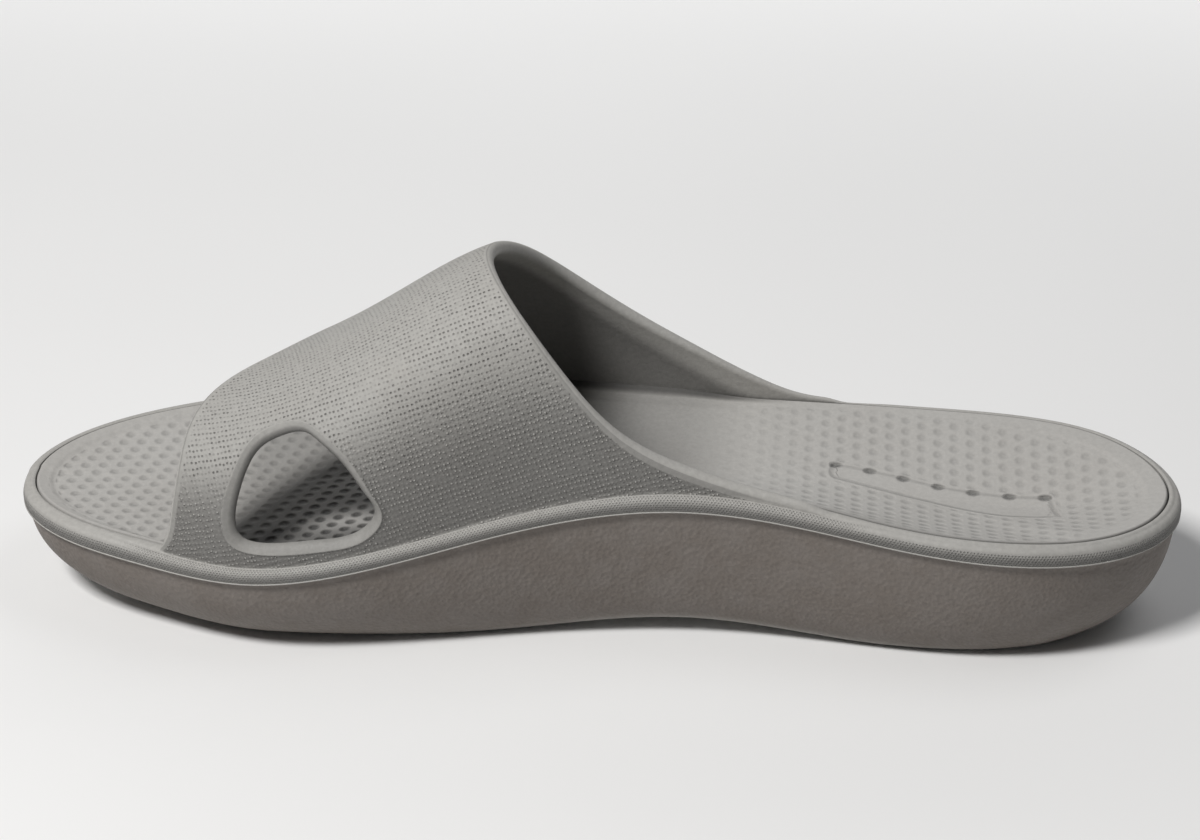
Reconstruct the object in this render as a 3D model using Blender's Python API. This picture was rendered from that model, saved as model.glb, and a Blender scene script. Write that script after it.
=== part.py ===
"""A slip-on slide sandal: one moulded body of sole, rim and strap, and the footbed that lies in it.

Metres, +Z up. +X points to the toe and +Y to the inner side of the foot, so this is a right shoe.
The origin is on the floor, under the middle of the shoe's outline.
"""

import math

import bmesh
import bpy
import numpy as np

# Sizes of the sole
LENGTH = 0.280
BALL_WIDTH = 0.104
SEAM_HEIGHT = 0.0274
SIDE_TUCK = 0.0120
SEAM_STEP = 0.0012
TOE_SPRING = 0.0100

# Sizes of the rim, the rounded bead round the top of the sole
RIM_HEIGHT = 0.0047
RIM_WIDTH = 0.0031
RIM_CROWN = 0.0003
VALLEY_DROP = 0.0006

# Sizes of the strap
STRAP_WALL = 0.0032
STRAP_INSET = 0.0018
INSTEP_HEIGHT = 0.0893
EDGE_ROUND = 0.0014
EDGE_BLEND = 0.0060
FOOT_BLEND = 25.0

# Sizes of the hole in the strap's inner side: its rounded edge, which is narrower towards the heel,
# and the smooth border beyond that edge. HOLE_LEAN moves the narrowest line of the rounded edge
# inwards: it is the power of the depth's share.
HOLE_ROUND = 0.0022
HOLE_ROUND_BACK = 0.0013
HOLE_BORDER = 0.0008
HOLE_LIP = 0.0002
HOLE_LEAN = 0.6

# Sizes of the footbed
FOOTBED_THICKNESS = 0.0040
FOOTBED_DEPTH = 0.0080
FOOTBED_MARGIN = 0.0046
FOOTBED_STEP = 0.0007
FOOTBED_EDGE = 0.0006
FOOTBED_PROUD = 0.0003
FIT_GAP = 0.0003

# The plan outline at the rim's widest line, from the back of the heel round the inner side, the toe
# and the outer side: shares of LENGTH from the heel, and of BALL_WIDTH towards the inner side.
OUTLINE = (
    {"along": 0.001, "across": 0.025},
    {"along": 0.022, "across": 0.184},
    {"along": 0.075, "across": 0.304},
    {"along": 0.160, "across": 0.361},
    {"along": 0.300, "across": 0.330},
    {"along": 0.440, "across": 0.315},
    {"along": 0.560, "across": 0.360},
    {"along": 0.680, "across": 0.435},
    {"along": 0.780, "across": 0.450},
    {"along": 0.870, "across": 0.378},
    {"along": 0.945, "across": 0.282},
    {"along": 0.990, "across": 0.150},
    {"along": 1.000, "across": 0.030},
    {"along": 0.985, "across": -0.115},
    {"along": 0.935, "across": -0.270},
    {"along": 0.850, "across": -0.405},
    {"along": 0.750, "across": -0.510},
    {"along": 0.650, "across": -0.550},
    {"along": 0.530, "across": -0.487},
    {"along": 0.400, "across": -0.422},
    {"along": 0.270, "across": -0.385},
    {"along": 0.160, "across": -0.355},
    {"along": 0.075, "across": -0.285},
    {"along": 0.0205, "across": -0.155},
)

# Sections of the rim: shares of LENGTH from the heel, of SEAM_HEIGHT for the seam on each side, and of
# RIM_HEIGHT. "wall" is 0 where the rim has its own width, and 1 where it is as wide as the strap on it.
RIM_SECTIONS = (
    {"along": 0.00, "inner": 0.975, "outer": 0.975, "rim": 1.00, "wall": 0.0},
    {"along": 0.06, "inner": 0.990, "outer": 1.020, "rim": 1.00, "wall": 0.0},
    {"along": 0.12, "inner": 1.020, "outer": 1.020, "rim": 1.00, "wall": 0.0},
    {"along": 0.24, "inner": 1.130, "outer": 1.022, "rim": 0.90, "wall": 0.0},
    {"along": 0.42, "inner": 1.325, "outer": 0.995, "rim": 1.00, "wall": 1.0},
    {"along": 0.60, "inner": 1.060, "outer": 0.900, "rim": 0.90, "wall": 1.0},
    {"along": 0.76, "inner": 0.750, "outer": 0.784, "rim": 0.90, "wall": 1.0},
    {"along": 0.88, "inner": 0.735, "outer": 0.775, "rim": 1.00, "wall": 0.3},
    {"along": 1.00, "inner": 0.760, "outer": 0.775, "rim": 1.00, "wall": 0.0},
)

# Sections of the sole: shares of LENGTH from the heel, of SIDE_TUCK for how far the side curves in, of
# TOE_SPRING for the underside, of FOOTBED_DEPTH for the hollow of the footbed, of FOOTBED_MARGIN for its
# margin, and of FOOTBED_STEP for the margin's step on the inner and the outer side.
SOLE_SECTIONS = (
    {"along": 0.00, "tuck": 1.45, "under": 0.5, "hollow": 0.80, "margin": 1.00, "inner": 1.0, "outer": 1.0},
    {"along": 0.06, "tuck": 1.42, "under": 0.2, "hollow": 0.95, "margin": 0.92, "inner": 0.5, "outer": 1.0},
    {"along": 0.12, "tuck": 1.22, "under": 0.0, "hollow": 1.00, "margin": 0.80, "inner": 0.0, "outer": 0.8},
    {"along": 0.24, "tuck": 0.95, "under": 0.0, "hollow": 1.00, "margin": 0.72, "inner": 0.0, "outer": 0.3},
    {"along": 0.42, "tuck": 0.82, "under": 0.35, "hollow": 1.10, "margin": 0.66, "inner": 0.0, "outer": 0.3},
    {"along": 0.60, "tuck": 1.04, "under": 0.0, "hollow": 0.60, "margin": 0.60, "inner": 0.0, "outer": 0.3},
    {"along": 0.76, "tuck": 1.57, "under": 0.0, "hollow": 0.35, "margin": 0.54, "inner": 0.0, "outer": 0.3},
    {"along": 0.88, "tuck": 1.35, "under": 0.2, "hollow": 0.25, "margin": 0.50, "inner": 0.2, "outer": 0.7},
    {"along": 1.00, "tuck": 1.15, "under": 1.0, "hollow": 0.20, "margin": 0.58, "inner": 1.0, "outer": 1.0},
)

# The rim's outer face, from the seam up: shares of STRAP_INSET inwards and of the rise to the valley.
RIM_FACE = (
    {"inset": 0.12, "rise": 0.05},
    {"inset": 0.00, "rise": 0.34},
    {"inset": 0.14, "rise": 0.66},
    {"inset": 0.48, "rise": 0.90},
)

# The strap's edges from the inner to the outer side: shares of LENGTH from the heel, and degrees of
# turn round the arch.
FRONT_EDGE = (
    {"along": 0.856, "turn": 0.0},
    {"along": 0.846, "turn": 8.0},
    {"along": 0.839, "turn": 22.0},
    {"along": 0.832, "turn": 50.0},
    {"along": 0.825, "turn": 75.0},
    {"along": 0.795, "turn": 100.0},
    {"along": 0.733, "turn": 125.0},
    {"along": 0.704, "turn": 150.0},
    {"along": 0.684, "turn": 180.0},
)
BACK_EDGE = (
    {"along": 0.300, "turn": 0.0},
    {"along": 0.390, "turn": 4.0},
    {"along": 0.450, "turn": 14.0},
    {"along": 0.514, "turn": 38.0},
    {"along": 0.576, "turn": 76.0},
    {"along": 0.590, "turn": 100.0},
    {"along": 0.547, "turn": 140.0},
    {"along": 0.422, "turn": 166.3},
    {"along": 0.368, "turn": 174.5},
    {"along": 0.328, "turn": 178.9},
    {"along": 0.285, "turn": 180.0},
)

# The strap's arch: its top line in shares of LENGTH and INSTEP_HEIGHT, and its section from the inner
# to the outer foot, in shares of the width between the feet and of the rise from them to the top line.
TOP_LINE = (
    {"along": 0.28, "top": 0.89},
    {"along": 0.45, "top": 0.98},
    {"along": 0.57, "top": 1.00},
    {"along": 0.68, "top": 0.814},
    {"along": 0.78, "top": 0.657},
    {"along": 0.88, "top": 0.60},
)
ARCH = (
    {"turn": 0.0, "across": 0.00, "rise": 0.00},
    {"turn": 20.0, "across": -0.01, "rise": 0.30},
    {"turn": 40.0, "across": 0.02, "rise": 0.60},
    {"turn": 60.0, "across": 0.10, "rise": 0.85},
    {"turn": 80.0, "across": 0.24, "rise": 0.98},
    {"turn": 100.0, "across": 0.40, "rise": 1.00},
    {"turn": 120.0, "across": 0.58, "rise": 0.90},
    {"turn": 140.0, "across": 0.77, "rise": 0.68},
    {"turn": 160.0, "across": 0.92, "rise": 0.36},
    {"turn": 180.0, "across": 1.00, "rise": 0.00},
)
TURN_LENGTH = 0.0009

# The edge of the hole in the strap, and its middle.
HOLE = (
    {"along": 0.739, "turn": 57.5},
    {"along": 0.760, "turn": 57.0},
    {"along": 0.775, "turn": 48.3},
    {"along": 0.783, "turn": 34.0},
    {"along": 0.785, "turn": 21.0},
    {"along": 0.776, "turn": 12.6},
    {"along": 0.752, "turn": 9.8},
    {"along": 0.715, "turn": 8.1},
    {"along": 0.680, "turn": 7.5},
    {"along": 0.667, "turn": 11.5},
    {"along": 0.673, "turn": 22.0},
    {"along": 0.692, "turn": 36.0},
    {"along": 0.716, "turn": 49.5},
)
HOLE_MIDDLE = {"along": 0.727, "turn": 27.0}

# How finely the skin is cut into faces. The hole lies in the block of strap cells between the
# two HOLE_BLOCK shares of the way back, and from the inner foot up to HOLE_BLOCK_TOP.
OUTLINE_SAMPLES = 4000
HEEL_CELLS = 14
TOE_CELLS = 11
HOLE_BLOCK = (0.07, 0.56)
HOLE_BLOCK_TOP = 0.42
FRONT_CELLS = 2
BLOCK_CELLS = 10
BACK_CELLS = 8
BLOCK_TOP_CELLS = 10
OUTER_CELLS = 16
SIDE_TURNS = (0.0, 0.22, 0.42, 0.62, 0.81, 1.0)
FLOOR_SHARES = (0.0, 0.30, 0.62, 1.0)
FOOTBED_SHARES = (0.0, 0.16, 0.38, 0.68, 1.0)
EDGE_CELLS = 4
HOLE_RINGS = 3
HOLE_SAMPLES = 720
MIDDLE_END = 0.40

# Small steps, in shares of the length, in degrees and in shares v and t of the strap, for directions.
ALONG_STEP = 0.001
TURN_STEP = 0.5
ACROSS_STEP = 0.002
BACK_STEP = 0.02


def spline(knots, values, at, period=None):
    """A smooth curve through the values at the knots. With a period it closes on itself."""
    x = np.asarray(knots, float)
    y = np.asarray(values, float).reshape(len(x), -1)
    at = np.asarray(at, float)
    if period is not None:
        at = x[0] + (at - x[0]) % period
        x = np.concatenate([x - period, x, x + period])
        y = np.concatenate([y, y, y])
    gap = np.diff(x)
    slope = np.diff(y, axis=0) / gap[:, None]
    count = len(x)
    matrix = np.eye(count)
    right = np.zeros_like(y)
    for i in range(1, count - 1):
        matrix[i, i - 1 : i + 2] = gap[i - 1], 2 * (gap[i - 1] + gap[i]), gap[i]
        right[i] = 6 * (slope[i] - slope[i - 1])
    bend = np.linalg.solve(matrix, right)
    i = np.clip(np.searchsorted(x, at) - 1, 0, count - 2)
    a = ((x[i + 1] - at) / gap[i])[..., None]
    b = 1 - a
    square = (gap[i] ** 2)[..., None]
    return a * y[i] + b * y[i + 1] + ((a**3 - a) * bend[i] + (b**3 - b) * bend[i + 1]) * square / 6


def steady(knots, values, at):
    """A smooth curve through the values that stays level between two equal ones."""
    x = np.asarray(knots, float)
    y = np.asarray(values, float)
    at = np.clip(np.asarray(at, float), x[0], x[-1])
    gap = np.diff(x)
    slope = np.diff(y) / gap
    tangent = np.zeros(len(x))
    for i in range(1, len(x) - 1):
        if slope[i - 1] * slope[i] > 0:
            before = 2 * gap[i] + gap[i - 1]
            after = gap[i] + 2 * gap[i - 1]
            tangent[i] = (before + after) / (before / slope[i - 1] + after / slope[i])
    tangent[0] = slope[0]
    tangent[-1] = slope[-1]
    i = np.clip(np.searchsorted(x, at) - 1, 0, len(x) - 2)
    t = (at - x[i]) / gap[i]
    start = y[i] * (1 + 2 * t) * (1 - t) ** 2 + tangent[i] * gap[i] * t * (1 - t) ** 2
    return start + y[i + 1] * t**2 * (3 - 2 * t) + tangent[i + 1] * gap[i] * t**2 * (t - 1)


def smooth(share):
    """An even rise from 0 to 1 that starts and ends level."""
    share = np.clip(share, 0, 1)
    return share * share * (3 - 2 * share)


def column(table, name):
    return [row[name] for row in table]


def unit(vectors):
    return vectors / np.linalg.norm(vectors, axis=-1, keepdims=True)


OUTLINE_POINTS = np.array([column(OUTLINE, "along"), column(OUTLINE, "across")]).T * (LENGTH, BALL_WIDTH)
CHORDS = np.linalg.norm(np.roll(OUTLINE_POINTS, -1, 0) - OUTLINE_POINTS, axis=1)
OUTLINE_KNOTS = np.cumsum(CHORDS) - CHORDS
ROUND = CHORDS.sum()
SAMPLES = np.linspace(0, ROUND, OUTLINE_SAMPLES + 1)
SAMPLE_POINTS = spline(OUTLINE_KNOTS, OUTLINE_POINTS, SAMPLES, ROUND)
TOE = SAMPLES[np.argmax(SAMPLE_POINTS[:, 0])]
MIDDLE = (SAMPLE_POINTS.min(0) + SAMPLE_POINTS.max(0)) / 2


def outline(u):
    """Plan points and inward directions at places u round the outline."""
    u = np.asarray(u, float)
    step = ROUND / OUTLINE_SAMPLES
    here = spline(OUTLINE_KNOTS, OUTLINE_POINTS, u, ROUND)
    after = spline(OUTLINE_KNOTS, OUTLINE_POINTS, u + step, ROUND)
    before = spline(OUTLINE_KNOTS, OUTLINE_POINTS, u - step, ROUND)
    ahead = unit(after - before)
    return here, np.stack([ahead[..., 1], -ahead[..., 0]], -1)


def place(along, inner):
    """The place on the outline that is this far along, on its inner or its outer side."""
    side = SAMPLES <= TOE if inner else SAMPLES >= TOE
    x = SAMPLE_POINTS[side, 0]
    order = np.argsort(x)
    return np.interp(np.asarray(along) * LENGTH, x[order], SAMPLES[side][order])


def section(table, name, x):
    """A column of a table of sections, at distances x from the heel."""
    return steady(column(table, "along"), column(table, name), x / LENGTH)


def seam_height(u):
    """Height of the moulding seam, where the side of the sole meets the rim."""
    share = outline(u)[0][..., 0] / LENGTH
    inner = spline(column(RIM_SECTIONS, "along"), column(RIM_SECTIONS, "inner"), share)[..., 0]
    outer = spline(column(RIM_SECTIONS, "along"), column(RIM_SECTIONS, "outer"), share)[..., 0]
    return SEAM_HEIGHT * np.where(np.asarray(u) % ROUND <= TOE, inner, outer)


def under_height(x):
    """Height of the underside, which is flat at the heel and under the ball of the foot."""
    return TOE_SPRING * section(SOLE_SECTIONS, "under", x)


def loop(u, inset, height):
    """A loop of points this far inside the outline, at the given heights."""
    here, inward = outline(u)
    plan = here + inward * np.broadcast_to(inset, np.shape(u))[..., None]
    return np.concatenate([plan, np.broadcast_to(height, np.shape(u))[..., None]], -1)


def side_loop(u, turn):
    """The side of the sole, from its underside at turn 0 to the seam at turn 1."""
    tuck = SIDE_TUCK * section(SOLE_SECTIONS, "tuck", outline(u)[0][..., 0])
    quarter = turn * math.pi / 2
    low = under_height(loop(u, tuck, 0.0)[..., 0])
    inset = SEAM_STEP + (tuck - SEAM_STEP) * (1 - math.sin(quarter))
    return loop(u, inset, low + (seam_height(u) - low) * (1 - math.cos(quarter)))


def rim_height(u):
    """Height of the rim's inner line above the seam."""
    return RIM_HEIGHT * section(RIM_SECTIONS, "rim", outline(u)[0][..., 0])


def wall_foot(u):
    """The valley above the rim's outer face, where the strap's outer skin starts."""
    return loop(u, STRAP_INSET, seam_height(u) + rim_height(u) - VALLEY_DROP)


def rim_width(u):
    """The rim is as wide as the strap's wall where the strap stands on it."""
    wall = section(RIM_SECTIONS, "wall", outline(u)[0][..., 0])
    return RIM_WIDTH + (STRAP_INSET + STRAP_WALL - RIM_WIDTH) * wall


def rim_inside(u):
    """The inner line of the rim, beside the footbed."""
    return loop(u, rim_width(u), seam_height(u) + rim_height(u))


def arch(along, turn):
    """The strap's outer skin: along in shares of LENGTH, turn in degrees from the inner foot."""
    inner = wall_foot(place(along, True))
    outer = wall_foot(place(along, False))
    lean = spline(column(ARCH, "turn"), column(ARCH, "across"), turn)
    rise = spline(column(ARCH, "turn"), column(ARCH, "rise"), turn)[..., 0]
    top = INSTEP_HEIGHT * spline(column(TOP_LINE, "along"), column(TOP_LINE, "top"), along)[..., 0]
    point = inner * (1 - lean) + outer * lean
    point[..., 2] += (top - point[..., 2]) * rise
    return point


def outward(along, turn):
    """Outward directions of the strap's outer skin."""
    forward = arch(along + ALONG_STEP, turn) - arch(along - ALONG_STEP, turn)
    over = arch(along, turn + TURN_STEP) - arch(along, turn - TURN_STEP)
    return unit(np.cross(over, forward))


def skin(along, turn, depth):
    """The strap's wall: depth 0 is its outer skin and depth 1 its inner skin."""
    along, turn = np.broadcast_arrays(np.asarray(along, float), np.asarray(turn, float))
    outer = arch(along, turn)
    half = ARCH[-1]["turn"] / 2
    u = np.where(turn < half, place(along, True), place(along, False))
    standing = outer + rim_inside(u) - wall_foot(u)
    clear = smooth(np.minimum(turn, 2 * half - turn) / FOOT_BLEND)[..., None]
    inner = standing * (1 - clear) + (outer - outward(along, turn) * STRAP_WALL) * clear
    depth = np.broadcast_to(depth, along.shape)[..., None]
    return outer * (1 - depth) + inner * depth


def edge_place(rows, v):
    """Along and turn of a strap edge, at shares v of its way from the inner to the outer side."""
    places = np.array([column(rows, "along"), column(rows, "turn")]).T
    steps = np.linalg.norm(np.diff(places * (LENGTH, TURN_LENGTH), axis=0), axis=1)
    knots = np.concatenate([[0], np.cumsum(steps)])
    return spline(knots / knots[-1], places, v)


def strap_place(v, t):
    """Along and turn on the strap: v goes from the inner to the outer side, t from front to back."""
    v, t = np.broadcast_arrays(v, t)
    both = edge_place(FRONT_EDGE, v) * (1 - t)[..., None] + edge_place(BACK_EDGE, v) * t[..., None]
    return both[..., 0], both[..., 1]


def round_shares():
    """Shares across a rounded edge, and how far it bulges at each."""
    angle = np.linspace(0, math.pi, EDGE_CELLS + 1)
    return (1 - np.cos(angle)) / 2, np.sin(angle)


def rim_top(u):
    """The rounded top of the rim, from the valley to the footbed."""
    share, bulge = round_shares()
    low = wall_foot(u)[..., None, :]
    high = rim_inside(u)[..., None, :]
    up = np.array([0.0, 0.0, RIM_CROWN])
    return low + (high - low) * share[:, None] + up * bulge[:, None]


def strap_edge(v, t):
    """The rounded edge of the strap at its front, t 0, or its back, t 1."""
    along, turn = strap_place(v, t)
    low = skin(along, turn, 0)
    high = skin(along, turn, 1)
    after = arch(*strap_place(np.minimum(v + ACROSS_STEP, 1), t))
    before = arch(*strap_place(np.maximum(v - ACROSS_STEP, 0), t))
    away = unit(np.cross(after - before, outward(along, turn)))
    inside = arch(*strap_place(v, t + BACK_STEP * (1 - 2 * t))) - low
    away *= -np.sign((away * inside).sum(-1, keepdims=True))
    steps = np.linalg.norm(np.diff(low, axis=0), axis=1)
    run = np.concatenate([[0], np.cumsum(steps)])
    clear = smooth(np.minimum(run, run[-1] - run) / EDGE_BLEND)[:, None]
    push = np.array([0.0, 0.0, RIM_CROWN]) * (1 - clear) + away * EDGE_ROUND * clear
    share, bulge = round_shares()
    return low[:, None] + (high - low)[:, None] * share[:, None] + push[:, None] * bulge[:, None]


def hole_place(angle, out):
    """Along and turn at an angle round the hole's middle, this far outside its edge."""
    scale = np.array([LENGTH, TURN_LENGTH])
    middle = np.array([HOLE_MIDDLE["along"], HOLE_MIDDLE["turn"]]) * scale
    knots = np.array([column(HOLE, "along"), column(HOLE, "turn")]).T * scale - middle
    steps = np.linalg.norm(np.roll(knots, -1, 0) - knots, axis=1)
    total = steps.sum()
    samples = np.linspace(0, total, HOLE_SAMPLES + 1)[:-1]
    edge = spline(np.cumsum(steps) - steps, knots, samples, total)
    turns = np.arctan2(edge[:, 1], edge[:, 0])
    order = np.argsort(turns)
    reach = np.interp(angle, turns[order], np.linalg.norm(edge, axis=1)[order], period=2 * math.pi) + out
    spot = middle + np.stack([np.cos(angle), np.sin(angle)], -1) * reach[..., None]
    return spot[..., 0] / LENGTH, spot[..., 1] / TURN_LENGTH


def hole_round(angle):
    """How wide the hole's rounded edge is. Angle 0 is towards the toe."""
    return HOLE_ROUND + (HOLE_ROUND_BACK - HOLE_ROUND) * smooth(-np.cos(angle))


class Shell:
    """A skin of four-sided faces over numbered points."""

    def __init__(self):
        self.points = []
        self.faces = []
        self.count = 0

    def add(self, points):
        """Keep the points, and return their numbers in the same arrangement."""
        points = np.asarray(points, float)
        numbers = self.count + np.arange(points[..., 0].size).reshape(points.shape[:-1])
        self.points.append(points.reshape(-1, 3))
        self.count += numbers.size
        return numbers

    def cover(self, grid, closed=False, leave=None):
        """Faces over a table of point numbers. A closed table joins its last column to its first."""
        if closed:
            grid = np.concatenate([grid, grid[:, :1]], 1)
        cells = np.stack([grid[:-1, :-1], grid[:-1, 1:], grid[1:, 1:], grid[1:, :-1]], -1)
        if leave is not None:
            cells = cells[~leave]
        self.faces.append(cells.reshape(-1, 4))

    def join(self, first, second, closed=True):
        """One row of faces between two rows of point numbers."""
        self.cover(np.stack([first, second]), closed)


def strap_shares():
    """The strap's cells: shares v across it and t from front to back, and where the hole's block is."""
    front, back = HOLE_BLOCK
    before = np.linspace(0, front, FRONT_CELLS + 1)
    block = np.linspace(front, back, BLOCK_CELLS + 1)
    behind = np.linspace(back, 1, BACK_CELLS + 1)
    t = np.concatenate([before[:-1], block[:-1], behind])
    low = np.linspace(0, HOLE_BLOCK_TOP, BLOCK_TOP_CELLS + 1)
    v = np.concatenate([low[:-1], np.linspace(HOLE_BLOCK_TOP, 1, OUTER_CELLS + 1)])
    return v, t, (FRONT_CELLS, FRONT_CELLS + BLOCK_CELLS)


def perimeter(t):
    """Places round the outline, and the numbers of those where the strap's front and back edges end."""
    along_in = FRONT_EDGE[0]["along"] * (1 - t) + BACK_EDGE[0]["along"] * t
    along_out = FRONT_EDGE[-1]["along"] * (1 - t) + BACK_EDGE[-1]["along"] * t
    inner = place(along_in, True)[::-1]
    outer = place(along_out, False)
    parts = (
        np.linspace(0, inner[0], HEEL_CELLS + 1),
        inner,
        np.linspace(inner[-1], TOE, TOE_CELLS + 1),
        np.linspace(TOE, outer[0], TOE_CELLS + 1),
        outer,
        np.linspace(outer[-1], ROUND, HEEL_CELLS + 1),
    )
    u = np.concatenate([part[:-1] for part in parts])
    foot = len(t) - 1
    back_in = HEEL_CELLS
    front_in = back_in + foot
    front_out = front_in + 2 * TOE_CELLS
    return u, {"back_in": back_in, "front_in": front_in, "front_out": front_out, "back_out": front_out + foot}


def middle_line(u):
    """Plan of the line between the two sides, for half the loop, and the rim's mean height there."""
    x = outline(u)[0][:, 0]
    x = ((x + np.roll(x[::-1], 1)) / 2)[: len(u) // 2 + 1]
    end = MIDDLE_END * BALL_WIDTH
    share = (end + x * (LENGTH - 2 * end) / LENGTH) / LENGTH
    sides = [place(share, True), place(share, False)]
    return sum(loop(side, 0.0, seam_height(side) + rim_height(side)) for side in sides) / 2


def hollow_line(u, drop):
    """The lowest line of the footbed's hollow, dropped by the thickness that lies over it."""
    line = middle_line(u)
    line[:, 2] -= FOOTBED_DEPTH * section(SOLE_SECTIONS, "hollow", line[:, 0]) + drop
    return line


def full_round(half):
    """A half row repeated backwards, so that it runs right round a loop."""
    return np.concatenate([half, half[-2:0:-1]])


def bowl(edge, middle, share):
    """A loop between an edge loop and its middle line, on a hollow that is steepest at the edge."""
    spread = full_round(middle)
    point = edge * (1 - share) + spread * share
    point[:, 2] = edge[:, 2] + (spread[:, 2] - edge[:, 2]) * math.sin(share * math.pi / 2)
    return point


def add_bowl(shell, edge, middle, shares, first):
    """Cover a bowl from the loop numbered first to its middle line."""
    row = first
    for share in shares[1:-1]:
        following = shell.add(bowl(edge, middle, share))
        shell.join(row, following)
        row = following
    shell.join(row, full_round(shell.add(middle)))


def add_underside(shell, u):
    """The underside, from the lowest loop of the side to its middle line."""
    edge = side_loop(u, SIDE_TURNS[0])
    first = shell.add(edge)
    middle = middle_line(u)
    middle[:, 2] = under_height(middle[:, 0])
    row = first
    for share in FLOOR_SHARES[1:-1]:
        points = edge * (1 - share) + full_round(middle) * share
        points[:, 2] = under_height(points[:, 0])
        following = shell.add(points)
        shell.join(row, following)
        row = following
    shell.join(row, full_round(shell.add(middle)))
    return first


def add_hole(shell, grids, v, t, block):
    """The hole through the strap, with its raised border, in the block of cells left open for it."""
    start, end = block
    top = BLOCK_TOP_CELLS
    steps = [(i, start) for i in range(top)] + [(top, j) for j in range(start, end)]
    steps += [(i, end) for i in range(top, 0, -1)] + [(0, j) for j in range(end, start, -1)]
    i = np.array([step[0] for step in steps])
    j = np.array([step[1] for step in steps])
    along, turn = strap_place(v[i], t[j])
    angle = np.arctan2((turn - HOLE_MIDDLE["turn"]) * TURN_LENGTH, (along - HOLE_MIDDLE["along"]) * LENGTH)
    rows = [grids[0][i, j]]
    edge = hole_round(angle)
    wide = hole_place(angle, edge + HOLE_BORDER)
    for share in np.linspace(0, 1, HOLE_RINGS + 1)[1:]:
        spot = (along + (wide[0] - along) * share, turn + (wide[1] - turn) * share)
        rows.append(shell.add(skin(*spot, 0)))
    crest = hole_place(angle, edge + HOLE_BORDER / 2)
    rows.append(shell.add(skin(*crest, -HOLE_LIP / STRAP_WALL)))
    for share, bulge in zip(*round_shares()):
        spot = hole_place(angle, edge * (1 - bulge))
        rows.append(shell.add(skin(*spot, share**HOLE_LEAN)))
    narrow = hole_place(angle, edge)
    for share in np.linspace(1, 0, HOLE_RINGS + 1)[1:-1]:
        spot = (along + (narrow[0] - along) * share, turn + (narrow[1] - turn) * share)
        rows.append(shell.add(skin(*spot, 1)))
    rows.append(grids[1][i, j])
    shell.cover(np.stack(rows), closed=True)


def add_strap(shell, outside, inside, columns, corners, v, t, block):
    """The strap's two skins and rounded edges, standing on the rim's valley and inner line."""
    along, turn = strap_place(v[1:-1, None], t[None, :])
    foot = len(t)
    grids = []
    for depth, ring in ((0, outside), (1, inside)):
        first = ring[corners["back_in"] : corners["front_in"] + 1][::-1]
        last = ring[corners["front_out"] : corners["front_out"] + foot]
        grids.append(np.concatenate([first[None], shell.add(skin(along, turn, depth)), last[None]]))
    leave = np.zeros((len(v) - 1, len(t) - 1), bool)
    leave[:BLOCK_TOP_CELLS, block[0] : block[1]] = True
    for grid in grids:
        shell.cover(grid, leave=leave)
    for j, t_edge, start, stop in ((0, 0.0, "front_in", "front_out"), (-1, 1.0, "back_in", "back_out")):
        middle = shell.add(strap_edge(v, t_edge)[1:-1, 1:-1])
        middle = np.concatenate([columns[corners[start]][None], middle, columns[corners[stop]][None]])
        shell.cover(np.concatenate([grids[0][:, j, None], middle, grids[1][:, j, None]], 1))
    add_hole(shell, grids, v, t, block)


def build_body():
    """The moulded body: sole, rim with the recess for the footbed, and strap with its hole."""
    shell = Shell()
    v, t, block = strap_shares()
    u, corners = perimeter(t)
    row = add_underside(shell, u)
    for turn in SIDE_TURNS[1:]:
        following = shell.add(side_loop(u, turn))
        shell.join(row, following)
        row = following
    for face in RIM_FACE:
        rise = (rim_height(u) - VALLEY_DROP) * face["rise"]
        points = loop(u, STRAP_INSET * face["inset"], seam_height(u) + rise)
        following = shell.add(points)
        shell.join(row, following)
        row = following
    outside = shell.add(wall_foot(u))
    shell.join(row, outside)
    inside = shell.add(rim_inside(u))
    tops = rim_top(u)[:, 1:-1]
    columns = {}
    count = len(u)
    toe_run = range(corners["front_in"], corners["front_out"] + 1)
    heel_run = [i % count for i in range(corners["back_out"], count + corners["back_in"] + 1)]
    for run in (list(toe_run), heel_run):
        numbers = shell.add(tops[run])
        columns.update(zip(run, numbers))
        shell.cover(np.concatenate([outside[run][:, None], numbers, inside[run][:, None]], 1))
    add_strap(shell, outside, inside, columns, corners, v, t, block)
    floor = rim_inside(u)
    floor[:, 2] -= FOOTBED_THICKNESS
    first = shell.add(floor)
    shell.join(inside, first)
    add_bowl(shell, floor, hollow_line(u, FOOTBED_THICKNESS), FOOTBED_SHARES, first)
    return shell


def margin_width(u):
    """How wide the footbed's margin is."""
    return FOOTBED_MARGIN * section(SOLE_SECTIONS, "margin", outline(u)[0][..., 0])


def margin_step(u):
    """How deep the step inside the margin is. It fades away from the heel and the toe."""
    x = outline(u)[0][..., 0]
    sides = section(SOLE_SECTIONS, "inner", x), section(SOLE_SECTIONS, "outer", x)
    return FOOTBED_STEP * np.where(np.asarray(u) % ROUND <= TOE, *sides)


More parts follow.
